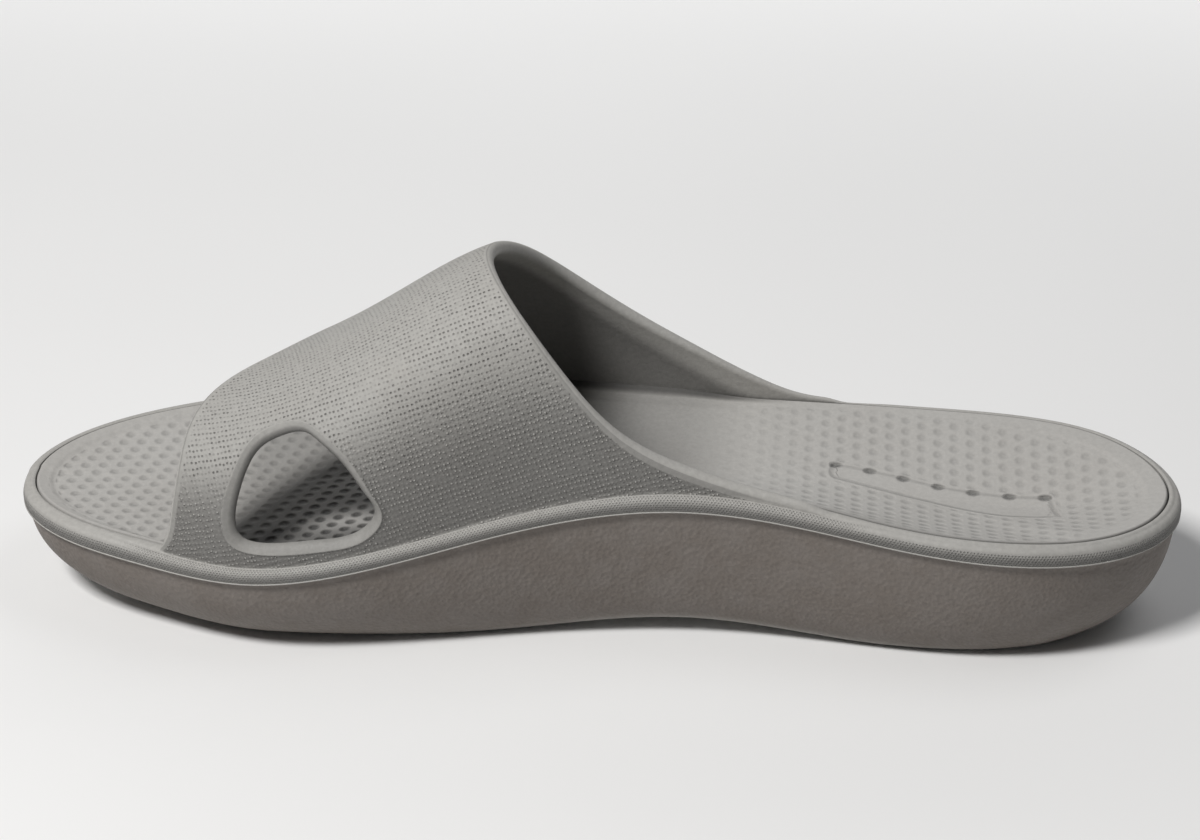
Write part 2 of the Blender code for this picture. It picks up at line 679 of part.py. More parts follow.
def build_footbed():
    """The footbed, which fills the recess with FIT_GAP left all round and below."""
    shell = Shell()
    u, corners = perimeter(strap_shares()[1])
    height = seam_height(u) + rim_height(u) + FOOTBED_PROUD
    width = rim_width(u) + FIT_GAP
    low = loop(u, width, height - FOOTBED_PROUD - FOOTBED_THICKNESS + FIT_GAP)
    row = shell.add(low)
    add_bowl(shell, low, hollow_line(u, FOOTBED_THICKNESS - FIT_GAP), FOOTBED_SHARES, row)
    margin = width + margin_width(u)
    field = loop(u, margin + FOOTBED_STEP, height - FOOTBED_EDGE - margin_step(u))
    tops = (
        loop(u, width, height - FOOTBED_EDGE),
        loop(u, width + FOOTBED_EDGE, height),
        loop(u, margin, height - FOOTBED_EDGE),
        field,
    )
    for points in tops:
        following = shell.add(points)
        shell.join(row, following)
        row = following
    add_bowl(shell, field, hollow_line(u, 0.0), FOOTBED_SHARES, row)
    return shell


def make_material(name, colour, roughness):
    material = bpy.data.materials.new(name)
    material.use_nodes = True
    shader = material.node_tree.nodes["Principled BSDF"]
    shader.inputs["Base Color"].default_value = (*colour, 1.0)
    shader.inputs["Roughness"].default_value = roughness
    material.diffuse_color = (*colour, 1.0)
    return material


def make_object(name, shell, material):
    """One closed solid, its faces outwards, with the origin under the middle of the outline."""
    points = np.concatenate(shell.points)
    points[:, :2] -= MIDDLE
    mesh = bpy.data.meshes.new(name)
    mesh.from_pydata(points.tolist(), [], np.concatenate(shell.faces).tolist())
    work = bmesh.new()
    work.from_mesh(mesh)
    bmesh.ops.triangulate(work, faces=work.faces[:], quad_method="FIXED")
    bmesh.ops.recalc_face_normals(work, faces=work.faces[:])
    work.to_mesh(mesh)
    work.free()
    mesh.materials.append(material)
    mesh.update()
    item = bpy.data.objects.new(name, mesh)
    bpy.context.scene.collection.objects.link(item)
    return item


for item in list(bpy.data.objects):
    bpy.data.objects.remove(item, do_unlink=True)

make_object("slide_body", build_body(), make_material("moulded_foam", (0.34, 0.33, 0.31), 0.62))
make_object("footbed", build_footbed(), make_material("footbed_foam", (0.38, 0.37, 0.35), 0.68))
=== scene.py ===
"""The looks of the slide sandal: one moulded body and its footbed, in finer form, with their textures.

Metres, +Z up. +X points to the toe and +Y to the inner side of the foot.
"""

import math

import bmesh
import bpy
import numpy as np
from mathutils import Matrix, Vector


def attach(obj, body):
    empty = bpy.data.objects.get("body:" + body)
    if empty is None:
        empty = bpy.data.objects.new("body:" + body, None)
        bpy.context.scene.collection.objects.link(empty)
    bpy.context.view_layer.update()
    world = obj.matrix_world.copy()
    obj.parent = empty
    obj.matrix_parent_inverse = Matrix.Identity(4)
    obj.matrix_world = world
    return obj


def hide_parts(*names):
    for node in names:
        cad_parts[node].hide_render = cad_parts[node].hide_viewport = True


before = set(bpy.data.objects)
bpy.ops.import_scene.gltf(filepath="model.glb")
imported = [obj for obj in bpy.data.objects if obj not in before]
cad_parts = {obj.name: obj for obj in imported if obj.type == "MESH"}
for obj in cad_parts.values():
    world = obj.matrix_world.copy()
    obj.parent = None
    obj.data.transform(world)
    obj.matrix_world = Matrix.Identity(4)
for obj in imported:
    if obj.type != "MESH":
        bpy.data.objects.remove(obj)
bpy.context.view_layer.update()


def table(columns, *rows):
    """Rows of numbers under the names of their columns."""
    return [dict(zip(columns.split(), row)) for row in rows]



# Sizes of the sole
LENGTH = 0.280
BALL_WIDTH = 0.104
SEAM_HEIGHT = 0.0274
SIDE_TUCK = 0.0120
SEAM_STEP = 0.0012
TOE_SPRING = 0.0100

# Sizes of the rim, the rounded bead round the top of the sole
RIM_HEIGHT = 0.0047
RIM_WIDTH = 0.0031
RIM_CROWN = 0.0003
VALLEY_DROP = 0.0006

# Sizes of the strap
STRAP_WALL = 0.0032
STRAP_INSET = 0.0018
INSTEP_HEIGHT = 0.0893
EDGE_ROUND = 0.0014
EDGE_BLEND = 0.0060
FOOT_BLEND = 25.0

# Sizes of the hole in the strap's inner side: its rounded edge, which is narrower towards the heel,
# and the smooth border beyond that edge. HOLE_LEAN moves the narrowest line of the rounded edge
# inwards: it is the power of the depth's share.
HOLE_ROUND = 0.0022
HOLE_ROUND_BACK = 0.0013
HOLE_BORDER = 0.0008
HOLE_LIP = 0.0002
HOLE_LEAN = 0.6

# Sizes of the footbed
FOOTBED_THICKNESS = 0.0040
FOOTBED_DEPTH = 0.0080
FOOTBED_MARGIN = 0.0046
FOOTBED_STEP = 0.0007
FOOTBED_EDGE = 0.0006
FOOTBED_PROUD = 0.0003
FIT_GAP = 0.0003

# The plan outline at the rim's widest line, from the back of the heel round the inner side, the toe
# and the outer side: shares of LENGTH from the heel, and of BALL_WIDTH towards the inner side.
OUTLINE = table(
    "along across",
    (0.001, 0.025),
    (0.022, 0.184),
    (0.075, 0.304),
    (0.160, 0.361),
    (0.300, 0.330),
    (0.440, 0.315),
    (0.560, 0.360),
    (0.680, 0.435),
    (0.780, 0.450),
    (0.870, 0.378),
    (0.945, 0.282),
    (0.990, 0.150),
    (1.000, 0.030),
    (0.985, -0.115),
    (0.935, -0.270),
    (0.850, -0.405),
    (0.750, -0.510),
    (0.650, -0.550),
    (0.530, -0.487),
    (0.400, -0.422),
    (0.270, -0.385),
    (0.160, -0.355),
    (0.075, -0.285),
    (0.0205, -0.155),
)

# Sections of the rim: shares of LENGTH from the heel, of SEAM_HEIGHT for the seam on each side, and of
# RIM_HEIGHT. "wall" is 0 where the rim has its own width, and 1 where it is as wide as the strap on it.
RIM_SECTIONS = table(
    "along inner outer rim wall",
    (0.00, 0.975, 0.975, 1.00, 0.0),
    (0.06, 0.990, 1.020, 1.00, 0.0),
    (0.12, 1.020, 1.020, 1.00, 0.0),
    (0.24, 1.130, 1.022, 0.90, 0.0),
    (0.42, 1.325, 0.995, 1.00, 1.0),
    (0.60, 1.060, 0.900, 0.90, 1.0),
    (0.76, 0.750, 0.784, 0.90, 1.0),
    (0.88, 0.735, 0.775, 1.00, 0.3),
    (1.00, 0.760, 0.775, 1.00, 0.0),
)

# Sections of the sole: shares of LENGTH from the heel, of SIDE_TUCK for how far the side curves in, of
# TOE_SPRING for the underside, of FOOTBED_DEPTH for the hollow of the footbed, of FOOTBED_MARGIN for its
# margin, and of FOOTBED_STEP for the margin's step on the inner and the outer side.
SOLE_SECTIONS = table(
    "along tuck under hollow margin inner outer",
    (0.00, 1.45, 0.5, 0.80, 1.00, 1.0, 1.0),
    (0.06, 1.42, 0.2, 0.95, 0.92, 0.5, 1.0),
    (0.12, 1.22, 0.0, 1.00, 0.80, 0.0, 0.8),
    (0.24, 0.95, 0.0, 1.00, 0.72, 0.0, 0.3),
    (0.42, 0.82, 0.35, 1.10, 0.66, 0.0, 0.3),
    (0.60, 1.04, 0.0, 0.60, 0.60, 0.0, 0.3),
    (0.76, 1.57, 0.0, 0.35, 0.54, 0.0, 0.3),
    (0.88, 1.35, 0.2, 0.25, 0.50, 0.2, 0.7),
    (1.00, 1.15, 1.0, 0.20, 0.58, 1.0, 1.0),
)

# The rim's outer face, from the seam up: shares of STRAP_INSET inwards and of the rise to the valley.
RIM_FACE = table(
    "inset rise",
    (0.12, 0.05),
    (0.00, 0.34),
    (0.14, 0.66),
    (0.48, 0.90),
)

# The strap's edges from the inner to the outer side: shares of LENGTH from the heel, and degrees of
# turn round the arch.
FRONT_EDGE = table(
    "along turn",
    (0.856, 0.0),
    (0.846, 8.0),
    (0.839, 22.0),
    (0.832, 50.0),
    (0.825, 75.0),
    (0.795, 100.0),
    (0.733, 125.0),
    (0.704, 150.0),
    (0.684, 180.0),
)
BACK_EDGE = table(
    "along turn",
    (0.300, 0.0),
    (0.390, 4.0),
    (0.450, 14.0),
    (0.514, 38.0),
    (0.576, 76.0),
    (0.590, 100.0),
    (0.547, 140.0),
    (0.422, 166.3),
    (0.368, 174.5),
    (0.328, 178.9),
    (0.285, 180.0),
)

# The strap's arch: its top line in shares of LENGTH and INSTEP_HEIGHT, and its section from the inner
# to the outer foot, in shares of the width between the feet and of the rise from them to the top line.
TOP_LINE = table(
    "along top",
    (0.28, 0.89),
    (0.45, 0.98),
    (0.57, 1.00),
    (0.68, 0.814),
    (0.78, 0.657),
    (0.88, 0.60),
)
ARCH = table(
    "turn across rise",
    (0.0, 0.00, 0.00),
    (20.0, -0.01, 0.30),
    (40.0, 0.02, 0.60),
    (60.0, 0.10, 0.85),
    (80.0, 0.24, 0.98),
    (100.0, 0.40, 1.00),
    (120.0, 0.58, 0.90),
    (140.0, 0.77, 0.68),
    (160.0, 0.92, 0.36),
    (180.0, 1.00, 0.00),
)
TURN_LENGTH = 0.0009

# The edge of the hole in the strap, and its middle.
HOLE = table(
    "along turn",
    (0.739, 57.5),
    (0.760, 57.0),
    (0.775, 48.3),
    (0.783, 34.0),
    (0.785, 21.0),
    (0.776, 12.6),
    (0.752, 9.8),
    (0.715, 8.1),
    (0.680, 7.5),
    (0.667, 11.5),
    (0.673, 22.0),
    (0.692, 36.0),
    (0.716, 49.5),
)
HOLE_MIDDLE = {"along": 0.727, "turn": 27.0}

# How finely the skin is cut into faces.
OUTLINE_SAMPLES = 4000
HEEL_CELLS = 110
TOE_CELLS = 84
HOLE_BLOCK = (0.07, 0.56)
HOLE_BLOCK_TOP = 0.42
FRONT_CELLS = 8
BLOCK_CELLS = 52
BACK_CELLS = 48
BLOCK_TOP_CELLS = 64
OUTER_CELLS = 104
SIDE_TURNS = np.linspace(0.0, 1.0, 20)
FLOOR_SHARES = np.linspace(0.0, 1.0, 10)
RECESS_SHARES = (0.35, 0.7, 1.0)
RECESS_FLOOR_SHARES = (0.0, 0.12, 0.3, 0.5, 0.75, 1.0)
FIELD_SHARES = 1 - (1 - np.linspace(0.0, 1.0, 46)) ** 1.25
MARGIN_SHARES = np.linspace(0, 1, 19)
STEP_SHARES = np.linspace(0, 1, 6)
FACE_ROWS = 16
EDGE_CELLS = 8
HOLE_RINGS = 12
LIP_RINGS = 6
HOLE_SAMPLES = 720
MIDDLE_END = 0.40

# Small steps, in shares of the length, in degrees and in shares v and t of the strap, for directions.
ALONG_STEP = 0.001
TURN_STEP = 0.5
ACROSS_STEP = 0.002
BACK_STEP = 0.02

# The moulding flash round the seam: inset, rise above the seam, and how pale the line is.
FLASH_ROWS = (
    (SEAM_STEP - 0.0001, 0.00002, 0.0),
    (SEAM_STEP * 0.55, 0.00004, 0.0),
    (0.00015, 0.00006, 0.0),
    (0.00004, 0.00016, 1.0),
    (0.00003, 0.00026, 0.6),
    (0.00007, 0.00036, 0.0),
    (0.00018, 0.00046, 0.0),
)

# The woven texture and its smooth borders at the strap's edges and round the hole.
WEAVE_TILT = 17.5
WEAVE_PITCH = 1.00
WEAVE_ROW = 1.38
WEAVE_DEPTH = 0.00028
BACK_BORDER = 0.0002
LOW_BORDER = 0.0010
LOW_TURN = 36.0
FRONT_BORDER = 0.0005
HOLE_SMOOTH = 0.0003
STIPPLE_PITCH = 0.78
STIPPLE_TOP = 0.0030
STRAP_FADE = 0.045
ROW_SEED = 7.0

# Room in the textured field, in millimetres, of points outside every field and at the strap's foot.
OUTSIDE = -5.0
FOOT_ROOM = -0.35
NEAREST_BATCH = 2000

# The dimples of the footbed, in millimetres, and how deep they are along it, which also sets how much
# painted shade they get.
DIMPLE_PITCH = 4.05
DIMPLE_ROW = 3.95
DIMPLE_STRETCH = 1.12
DIMPLE_DEPTH = 0.0009
STEP_WIDTH = 0.0018
DIMPLE_EARLY = 1.0
LATTICE_LEAN = -0.205
LEAN_BACK = 0.30
LEAN_RUN = 0.40
DIMPLES = table(
    "along depth",
    (0.00, 0.34),
    (0.28, 0.34),
    (0.36, 0.18),
    (0.41, 0.03),
    (0.50, 0.03),
    (0.62, 0.42),
    (1.00, 0.42),
)

# Where the strap covers the forefoot it casts a painted shadow: behind a line across in plan, and its
# fade, the dimples are painted darker and bumped deeper.
SHADE_LINE = 0.2130
SHADE_SLOPE = 0.40
SHADE_FADE = 0.014
# Painted shade on the footbed under the strap, from UNDER_BACK to UNDER_FRONT, but not within the painted
# shadow.
UNDER_BACK = 0.36
UNDER_FRONT = 0.825
UNDER_SHADE = 0.38
UNDER_FADE = 0.08
UNDER_END = 0.03
# The painted shadow starts this far along.
SHADE_BACK = 0.55
# Painted shade towards the inner wall, beyond NEAR_LINE, within the painted shadow.
NEAR_SHADE = 0.85
NEAR_LINE = 0.019
NEAR_FADE = 0.012

# Under the strap's far wall the footbed fits closer, and rises to the wall in a soft curve.
NEAR_FIT = 0.2
FOOT_RISE = 0.0013
FOOT_REACH = 0.0055
WALL_BACK = 0.36
WALL_FRONT = 0.70
WALL_FADE = 0.09
# The painted shade beside the far wall starts at WING_BACK and ends at WALL_FRONT.
WING_BACK = 0.32
MARGIN_LEAST = 0.22
RISE_POWER = 2.5

# The footbed's rounded edge: shares of FOOTBED_EDGE inwards and down, and how much painted shade falls on
# it in the gap at the parting line. Below it a skirt goes down into the gap. The painted shade is lighter
# towards the toe.
EDGE_PROFILE = (
    (0.0, 1.0, 1.0),
    (0.13, 0.5, 0.9),
    (0.5, 0.13, 0.5),
    (1.0, 0.0, 0.0),
)
EDGE_SKIRT = 0.0016
TOE_PALE = 0.6
TOE_PALE_RUN = (0.60, 0.20)

# The bare frame on the heel: places of its two long sides in millimetres across, the slant of its
# heel end, the round of its toe end, and the pips on its upper side.
FRAME = table(
    "along upper lower",
    (0.111, -2.8, 8.0),
    (0.154, -3.8, 6.6),
    (0.209, -6.6, 0.8),
    (0.260, -10.5, -4.0),
    (0.293, -12.4, -7.0),
)
FRAME_SLANT = 1.8
FRAME_ROUND = 1.2
PIP_STRETCH = 1.25
FRAME_REACH = 20.0
FRAME_PIPS = (0.114, 0.144, 0.175, 0.205, 0.235, 0.264, 0.294)

# Painted shade: how much darker the colour is by place, where the light falls less: low on the strap, in
# the hole's rounded edge, at the foot of the rim's face, on the strap's inside and the rim's inner line,
# on the footbed by the far wall and under the strap, and in the gap at its parting line. How much darker
# the colour is by place, to match the photo's light: low on the strap, in the hole's rounded edge, the
# rim's face at its foot, the strap's inside, and the footbed by the far wall and at its parting line.
# Then painted shade in the pits, dots, frame groove and pips, and a painted highlight that lightens the
# stitches.
LOW_GAP_SHADE = 0.34
STRAP_LOW_SHADE = 0.30
HOLE_SHADE = 0.95
HOLE_SHADE_TURN = 0.9
HOLE_SHADE_RISE = 4.5
RIM_SHADE = 0.55
RIM_SHADE_RUN = (1.3, 4.0)
INNER_SHADE = 0.54
INNER_FADE = 4.0
RIM_INSIDE_SHADE = 0.8
BED_SHADE_AMOUNT = 0.80
CREVICE_SHADE = 0.62
PIT_SHADE = 0.55
DOT_SHADE = 0.13
KNOT_HIGHLIGHT = 2.6
FRAME_LINE_SHADE = 0.20
PIP_SHADE = 0.40

# Colours, each with a second tone that the mottle mixes in.
BODY_COLOUR = (0.385, 0.378, 0.360)
BODY_WARM = (0.372, 0.362, 0.343)
# The side's colours are darker than the body's: partly its own warmer tone, partly painted shade on the
# side turned from the light.
SIDE_SHADED_COLOUR = (0.176, 0.157, 0.142)
SIDE_SHADED_WARM = (0.162, 0.142, 0.126)
FLASH_COLOUR = (0.46, 0.44, 0.41)
BED_COLOUR = (0.425, 0.417, 0.400)
BED_WARM = (0.408, 0.397, 0.379)
FLOOR_COLOUR = (0.84, 0.84, 0.84)
FLOOR_HALF = 3.0
FLOOR_GAP = 0.0002

# The photo's camera: turn and elevation in degrees, aim from the heel, and framing.
CAMERA_TURN = (185.2, 27.0)
CAMERA_AIM = (0.14, 0.0, 0.035)
CAMERA_DISTANCE = 0.70
CAMERA_LENS = 87.15
CAMERA_SHIFT = (4 / 1200, 31 / 1200)

# The lights: name, place, aim, size, power and colour.
LIGHTS = (
    ("key_light", (0.47, 0.60, 1.02), (0.0, 0.0, 0.03), (0.30, 0.30), 14.8, (1.0, 0.99, 0.975)),
    ("heel_light", (-0.45, -0.15, 0.85), (-0.08, 0.0, 0.03), (0.60, 0.60), 1.3, (0.98, 0.99, 1.0)),
    ("back_light", (0.0, -0.95, 0.36), (0.0, -0.96, 0.0), (2.60, 0.90), 9.0, (1.0, 1.0, 1.0)),
)
WORLD_COLOUR = (0.97, 0.98, 1.0)
WORLD_STRENGTH = 0.06


def spline(knots, values, at, period=None):
    """A smooth curve through the values at the knots. With a period it closes on itself."""
    x = np.asarray(knots, float)
    y = np.asarray(values, float).reshape(len(x), -1)
    at = np.asarray(at, float)
    if period is not None:
        at = x[0] + (at - x[0]) % period
        x = np.concatenate([x - period, x, x + period])
        y = np.concatenate([y, y, y])
    gap = np.diff(x)
    slope = np.diff(y, axis=0) / gap[:, None]
    count = len(x)
    matrix = np.eye(count)
    right = np.zeros_like(y)
    for i in range(1, count - 1):
        matrix[i, i - 1 : i + 2] = gap[i - 1], 2 * (gap[i - 1] + gap[i]), gap[i]
        right[i] = 6 * (slope[i] - slope[i - 1])
    bend = np.linalg.solve(matrix, right)
    i = np.clip(np.searchsorted(x, at) - 1, 0, count - 2)
    a = ((x[i + 1] - at) / gap[i])[..., None]
    b = 1 - a
    square = (gap[i] ** 2)[..., None]
    return a * y[i] + b * y[i + 1] + ((a**3 - a) * bend[i] + (b**3 - b) * bend[i + 1]) * square / 6


def steady(knots, values, at):
    """A smooth curve through the values that stays level between two equal ones."""
    x = np.asarray(knots, float)
    y = np.asarray(values, float)
    at = np.clip(np.asarray(at, float), x[0], x[-1])
    gap = np.diff(x)
    slope = np.diff(y) / gap
    tangent = np.zeros(len(x))
    for i in range(1, len(x) - 1):
        if slope[i - 1] * slope[i] > 0:
            before = 2 * gap[i] + gap[i - 1]
            after = gap[i] + 2 * gap[i - 1]
            tangent[i] = (before + after) / (before / slope[i - 1] + after / slope[i])
    tangent[0] = slope[0]
    tangent[-1] = slope[-1]
    i = np.clip(np.searchsorted(x, at) - 1, 0, len(x) - 2)
    t = (at - x[i]) / gap[i]
    start = y[i] * (1 + 2 * t) * (1 - t) ** 2 + tangent[i] * gap[i] * t * (1 - t) ** 2
    return start + y[i + 1] * t**2 * (3 - 2 * t) + tangent[i + 1] * gap[i] * t**2 * (t - 1)


def smooth(share):
    """An even rise from 0 to 1 that starts and ends level."""
    share = np.clip(share, 0, 1)
    return share * share * (3 - 2 * share)


def column(table, name):
    return [row[name] for row in table]


def curve(rows, name, at, key="along"):
    """A smooth curve through one column of a table, over its key column."""
    return spline(column(rows, key), column(rows, name), at)[..., 0]


def unit(vectors):
    return vectors / np.linalg.norm(vectors, axis=-1, keepdims=True)


OUTLINE_POINTS = np.array([column(OUTLINE, "along"), column(OUTLINE, "across")]).T * (LENGTH, BALL_WIDTH)
CHORDS = np.linalg.norm(np.roll(OUTLINE_POINTS, -1, 0) - OUTLINE_POINTS, axis=1)
OUTLINE_KNOTS = np.cumsum(CHORDS) - CHORDS
ROUND = CHORDS.sum()
SAMPLES = np.linspace(0, ROUND, OUTLINE_SAMPLES + 1)
SAMPLE_POINTS = spline(OUTLINE_KNOTS, OUTLINE_POINTS, SAMPLES, ROUND)
TOE = SAMPLES[np.argmax(SAMPLE_POINTS[:, 0])]
MIDDLE = (SAMPLE_POINTS.min(0) + SAMPLE_POINTS.max(0)) / 2


def outline(u):
    """Plan points and inward directions at places u round the outline."""
    u = np.asarray(u, float)
    step = ROUND / OUTLINE_SAMPLES
    here = spline(OUTLINE_KNOTS, OUTLINE_POINTS, u, ROUND)
    after = spline(OUTLINE_KNOTS, OUTLINE_POINTS, u + step, ROUND)
    before = spline(OUTLINE_KNOTS, OUTLINE_POINTS, u - step, ROUND)
    ahead = unit(after - before)
    return here, np.stack([ahead[..., 1], -ahead[..., 0]], -1)


def place(along, inner):
    """The place on the outline that is this far along, on its inner or its outer side."""
    side = SAMPLES <= TOE if inner else SAMPLES >= TOE
    x = SAMPLE_POINTS[side, 0]
    order = np.argsort(x)
    return np.interp(np.asarray(along) * LENGTH, x[order], SAMPLES[side][order])


def section(table, name, x):
    """A column of a table of sections, at distances x from the heel."""
    return steady(column(table, "along"), column(table, name), x / LENGTH)


def seam_height(u):
    """Height of the moulding seam, where the side of the sole meets the rim."""
    share = outline(u)[0][..., 0] / LENGTH
    sides = curve(RIM_SECTIONS, "inner", share), curve(RIM_SECTIONS, "outer", share)
    return SEAM_HEIGHT * np.where(np.asarray(u) % ROUND <= TOE, *sides)


def under_height(x):
    """Height of the underside, which is flat at the heel and under the ball of the foot."""
    return TOE_SPRING * section(SOLE_SECTIONS, "under", x)


def loop(u, inset, height):
    """A loop of points this far inside the outline, at the given heights."""
    here, inward = outline(u)
    plan = here + inward * np.broadcast_to(inset, np.shape(u))[..., None]
    return np.concatenate([plan, np.broadcast_to(height, np.shape(u))[..., None]], -1)


def side_loop(u, turn):
    """The side of the sole, from its underside at turn 0 to the seam at turn 1."""
    tuck = SIDE_TUCK * section(SOLE_SECTIONS, "tuck", outline(u)[0][..., 0])
    quarter = turn * math.pi / 2
    low = under_height(loop(u, tuck, 0.0)[..., 0])
    inset = SEAM_STEP + (tuck - SEAM_STEP) * (1 - math.sin(quarter))
    return loop(u, inset, low + (seam_height(u) - low) * (1 - math.cos(quarter)))


def rim_height(u):
    """Height of the rim's inner line above the seam."""
    return RIM_HEIGHT * section(RIM_SECTIONS, "rim", outline(u)[0][..., 0])


def strap_stands(u):
    """1 where the strap stands on the rim and 0 away from it."""
    along = outline(u)[0][..., 0] / LENGTH
    inner = np.asarray(u) % ROUND <= TOE
    back = np.where(inner, BACK_EDGE[0]["along"], BACK_EDGE[-1]["along"])
    front = np.where(inner, FRONT_EDGE[0]["along"], FRONT_EDGE[-1]["along"])
    rise = smooth((along - back + STRAP_FADE) / STRAP_FADE)
    return rise * smooth((front + STRAP_FADE - along) / STRAP_FADE)


def valley_drop(u):
    return VALLEY_DROP * strap_stands(u) + RIM_CROWN * 0.4 * (1 - strap_stands(u))


def wall_foot(u):
    """The valley above the rim's outer face, where the strap's outer skin starts."""
    return loop(u, STRAP_INSET, seam_height(u) + rim_height(u) - valley_drop(u))


def rim_width(u):
    """The rim is as wide as the strap's wall where the strap stands on it."""
    wall = section(RIM_SECTIONS, "wall", outline(u)[0][..., 0])
    return RIM_WIDTH + (STRAP_INSET + STRAP_WALL - RIM_WIDTH) * wall


def rim_inside(u):
    """The inner line of the rim, beside the footbed."""
    return loop(u, rim_width(u), seam_height(u) + rim_height(u))


def arch(along, turn):
    """The strap's outer skin: along in shares of LENGTH, turn in degrees from the inner foot."""
    inner = wall_foot(place(along, True))
    outer = wall_foot(place(along, False))
    lean = curve(ARCH, "across", turn, "turn")[..., None]
    rise = curve(ARCH, "rise", turn, "turn")
    top = INSTEP_HEIGHT * curve(TOP_LINE, "top", along)
    point = inner * (1 - lean) + outer * lean
    point[..., 2] += (top - point[..., 2]) * rise
    return point


def outward(along, turn):
    """Outward directions of the strap's outer skin."""
    forward = arch(along + ALONG_STEP, turn) - arch(along - ALONG_STEP, turn)
    over = arch(along, turn + TURN_STEP) - arch(along, turn - TURN_STEP)
    return unit(np.cross(over, forward))


def skin(along, turn, depth):
    """The strap's wall: depth 0 is its outer skin and depth 1 its inner skin."""
    along, turn = np.broadcast_arrays(np.asarray(along, float), np.asarray(turn, float))
    outer = arch(along, turn)
    half = ARCH[-1]["turn"] / 2
    u = np.where(turn < half, place(along, True), place(along, False))
    standing = outer + rim_inside(u) - wall_foot(u)
    clear = smooth(np.minimum(turn, 2 * half - turn) / FOOT_BLEND)[..., None]
    inner = standing * (1 - clear) + (outer - outward(along, turn) * STRAP_WALL) * clear
    depth = np.broadcast_to(depth, along.shape)[..., None]
    return outer * (1 - depth) + inner * depth


def edge_place(rows, v):
    """Along and turn of a strap edge, at shares v of its way from the inner to the outer side."""
    places = np.array([column(rows, "along"), column(rows, "turn")]).T
    steps = np.linalg.norm(np.diff(places * (LENGTH, TURN_LENGTH), axis=0), axis=1)
    knots = np.concatenate([[0], np.cumsum(steps)])
    return spline(knots / knots[-1], places, v)


def strap_place(v, t):
    """Along and turn on the strap: v goes from the inner to the outer side, t from front to back."""
    v, t = np.broadcast_arrays(v, t)
    both = edge_place(FRONT_EDGE, v) * (1 - t)[..., None] + edge_place(BACK_EDGE, v) * t[..., None]
    return both[..., 0], both[..., 1]


def round_shares():
    """Shares across a rounded edge, and how far it bulges at each."""
    angle = np.linspace(0, math.pi, EDGE_CELLS + 1)
    return (1 - np.cos(angle)) / 2, np.sin(angle)


def rim_top(u):
    """The rounded top of the rim, from the valley to the footbed."""
    share, bulge = round_shares()
    low = wall_foot(u)[..., None, :]
    high = rim_inside(u)[..., None, :]
    stands = strap_stands(u)[..., None]
    bulge = bulge * stands + 4 * share * (1 - share) * (1 - stands)
    return low + (high - low) * share[:, None] + np.array([0.0, 0.0, RIM_CROWN]) * bulge[..., None]


def strap_edge(v, t):
    """The rounded edge of the strap at its front, t 0, or its back, t 1."""
    along, turn = strap_place(v, t)
    low = skin(along, turn, 0)
    high = skin(along, turn, 1)
    after = arch(*strap_place(np.minimum(v + ACROSS_STEP, 1), t))
    before = arch(*strap_place(np.maximum(v - ACROSS_STEP, 0), t))
    away = unit(np.cross(after - before, outward(along, turn)))
    inside = arch(*strap_place(v, t + BACK_STEP * (1 - 2 * t))) - low
    away *= -np.sign((away * inside).sum(-1, keepdims=True))
    steps = np.linalg.norm(np.diff(low, axis=0), axis=1)
    run = np.concatenate([[0], np.cumsum(steps)])
    clear = smooth(np.minimum(run, run[-1] - run) / EDGE_BLEND)[:, None]
    push = np.array([0.0, 0.0, RIM_CROWN]) * (1 - clear) + away * EDGE_ROUND * clear
    share, bulge = round_shares()
    return low[:, None] + (high - low)[:, None] * share[:, None] + push[:, None] * bulge[:, None]


def hole_place(angle, out):
    """Along and turn at an angle round the hole's middle, this far outside its edge."""
    scale = np.array([LENGTH, TURN_LENGTH])
    middle = np.array([HOLE_MIDDLE["along"], HOLE_MIDDLE["turn"]]) * scale
    knots = np.array([column(HOLE, "along"), column(HOLE, "turn")]).T * scale - middle
    steps = np.linalg.norm(np.roll(knots, -1, 0) - knots, axis=1)
    total = steps.sum()
    samples = np.linspace(0, total, HOLE_SAMPLES + 1)[:-1]
    edge = spline(np.cumsum(steps) - steps, knots, samples, total)
    turns = np.arctan2(edge[:, 1], edge[:, 0])
    order = np.argsort(turns)
    reach = np.interp(angle, turns[order], np.linalg.norm(edge, axis=1)[order], period=2 * math.pi) + out
    spot = middle + np.stack([np.cos(angle), np.sin(angle)], -1) * reach[..., None]
    return spot[..., 0] / LENGTH, spot[..., 1] / TURN_LENGTH


def hole_round(angle):
    """How wide the hole's rounded edge is. Angle 0 is towards the toe."""
    return HOLE_ROUND + (HOLE_ROUND_BACK - HOLE_ROUND) * smooth(-np.cos(angle))


def margin_width(u):
    """How wide the footbed's margin is."""
    return FOOTBED_MARGIN * section(SOLE_SECTIONS, "margin", outline(u)[0][..., 0])


def margin_step(u):
    """How deep the step inside the margin is. It fades away from the heel and the toe."""
    x = outline(u)[0][..., 0]
    sides = section(SOLE_SECTIONS, "inner", x), section(SOLE_SECTIONS, "outer", x)
    return FOOTBED_STEP * np.where(np.asarray(u) % ROUND <= TOE, *sides)


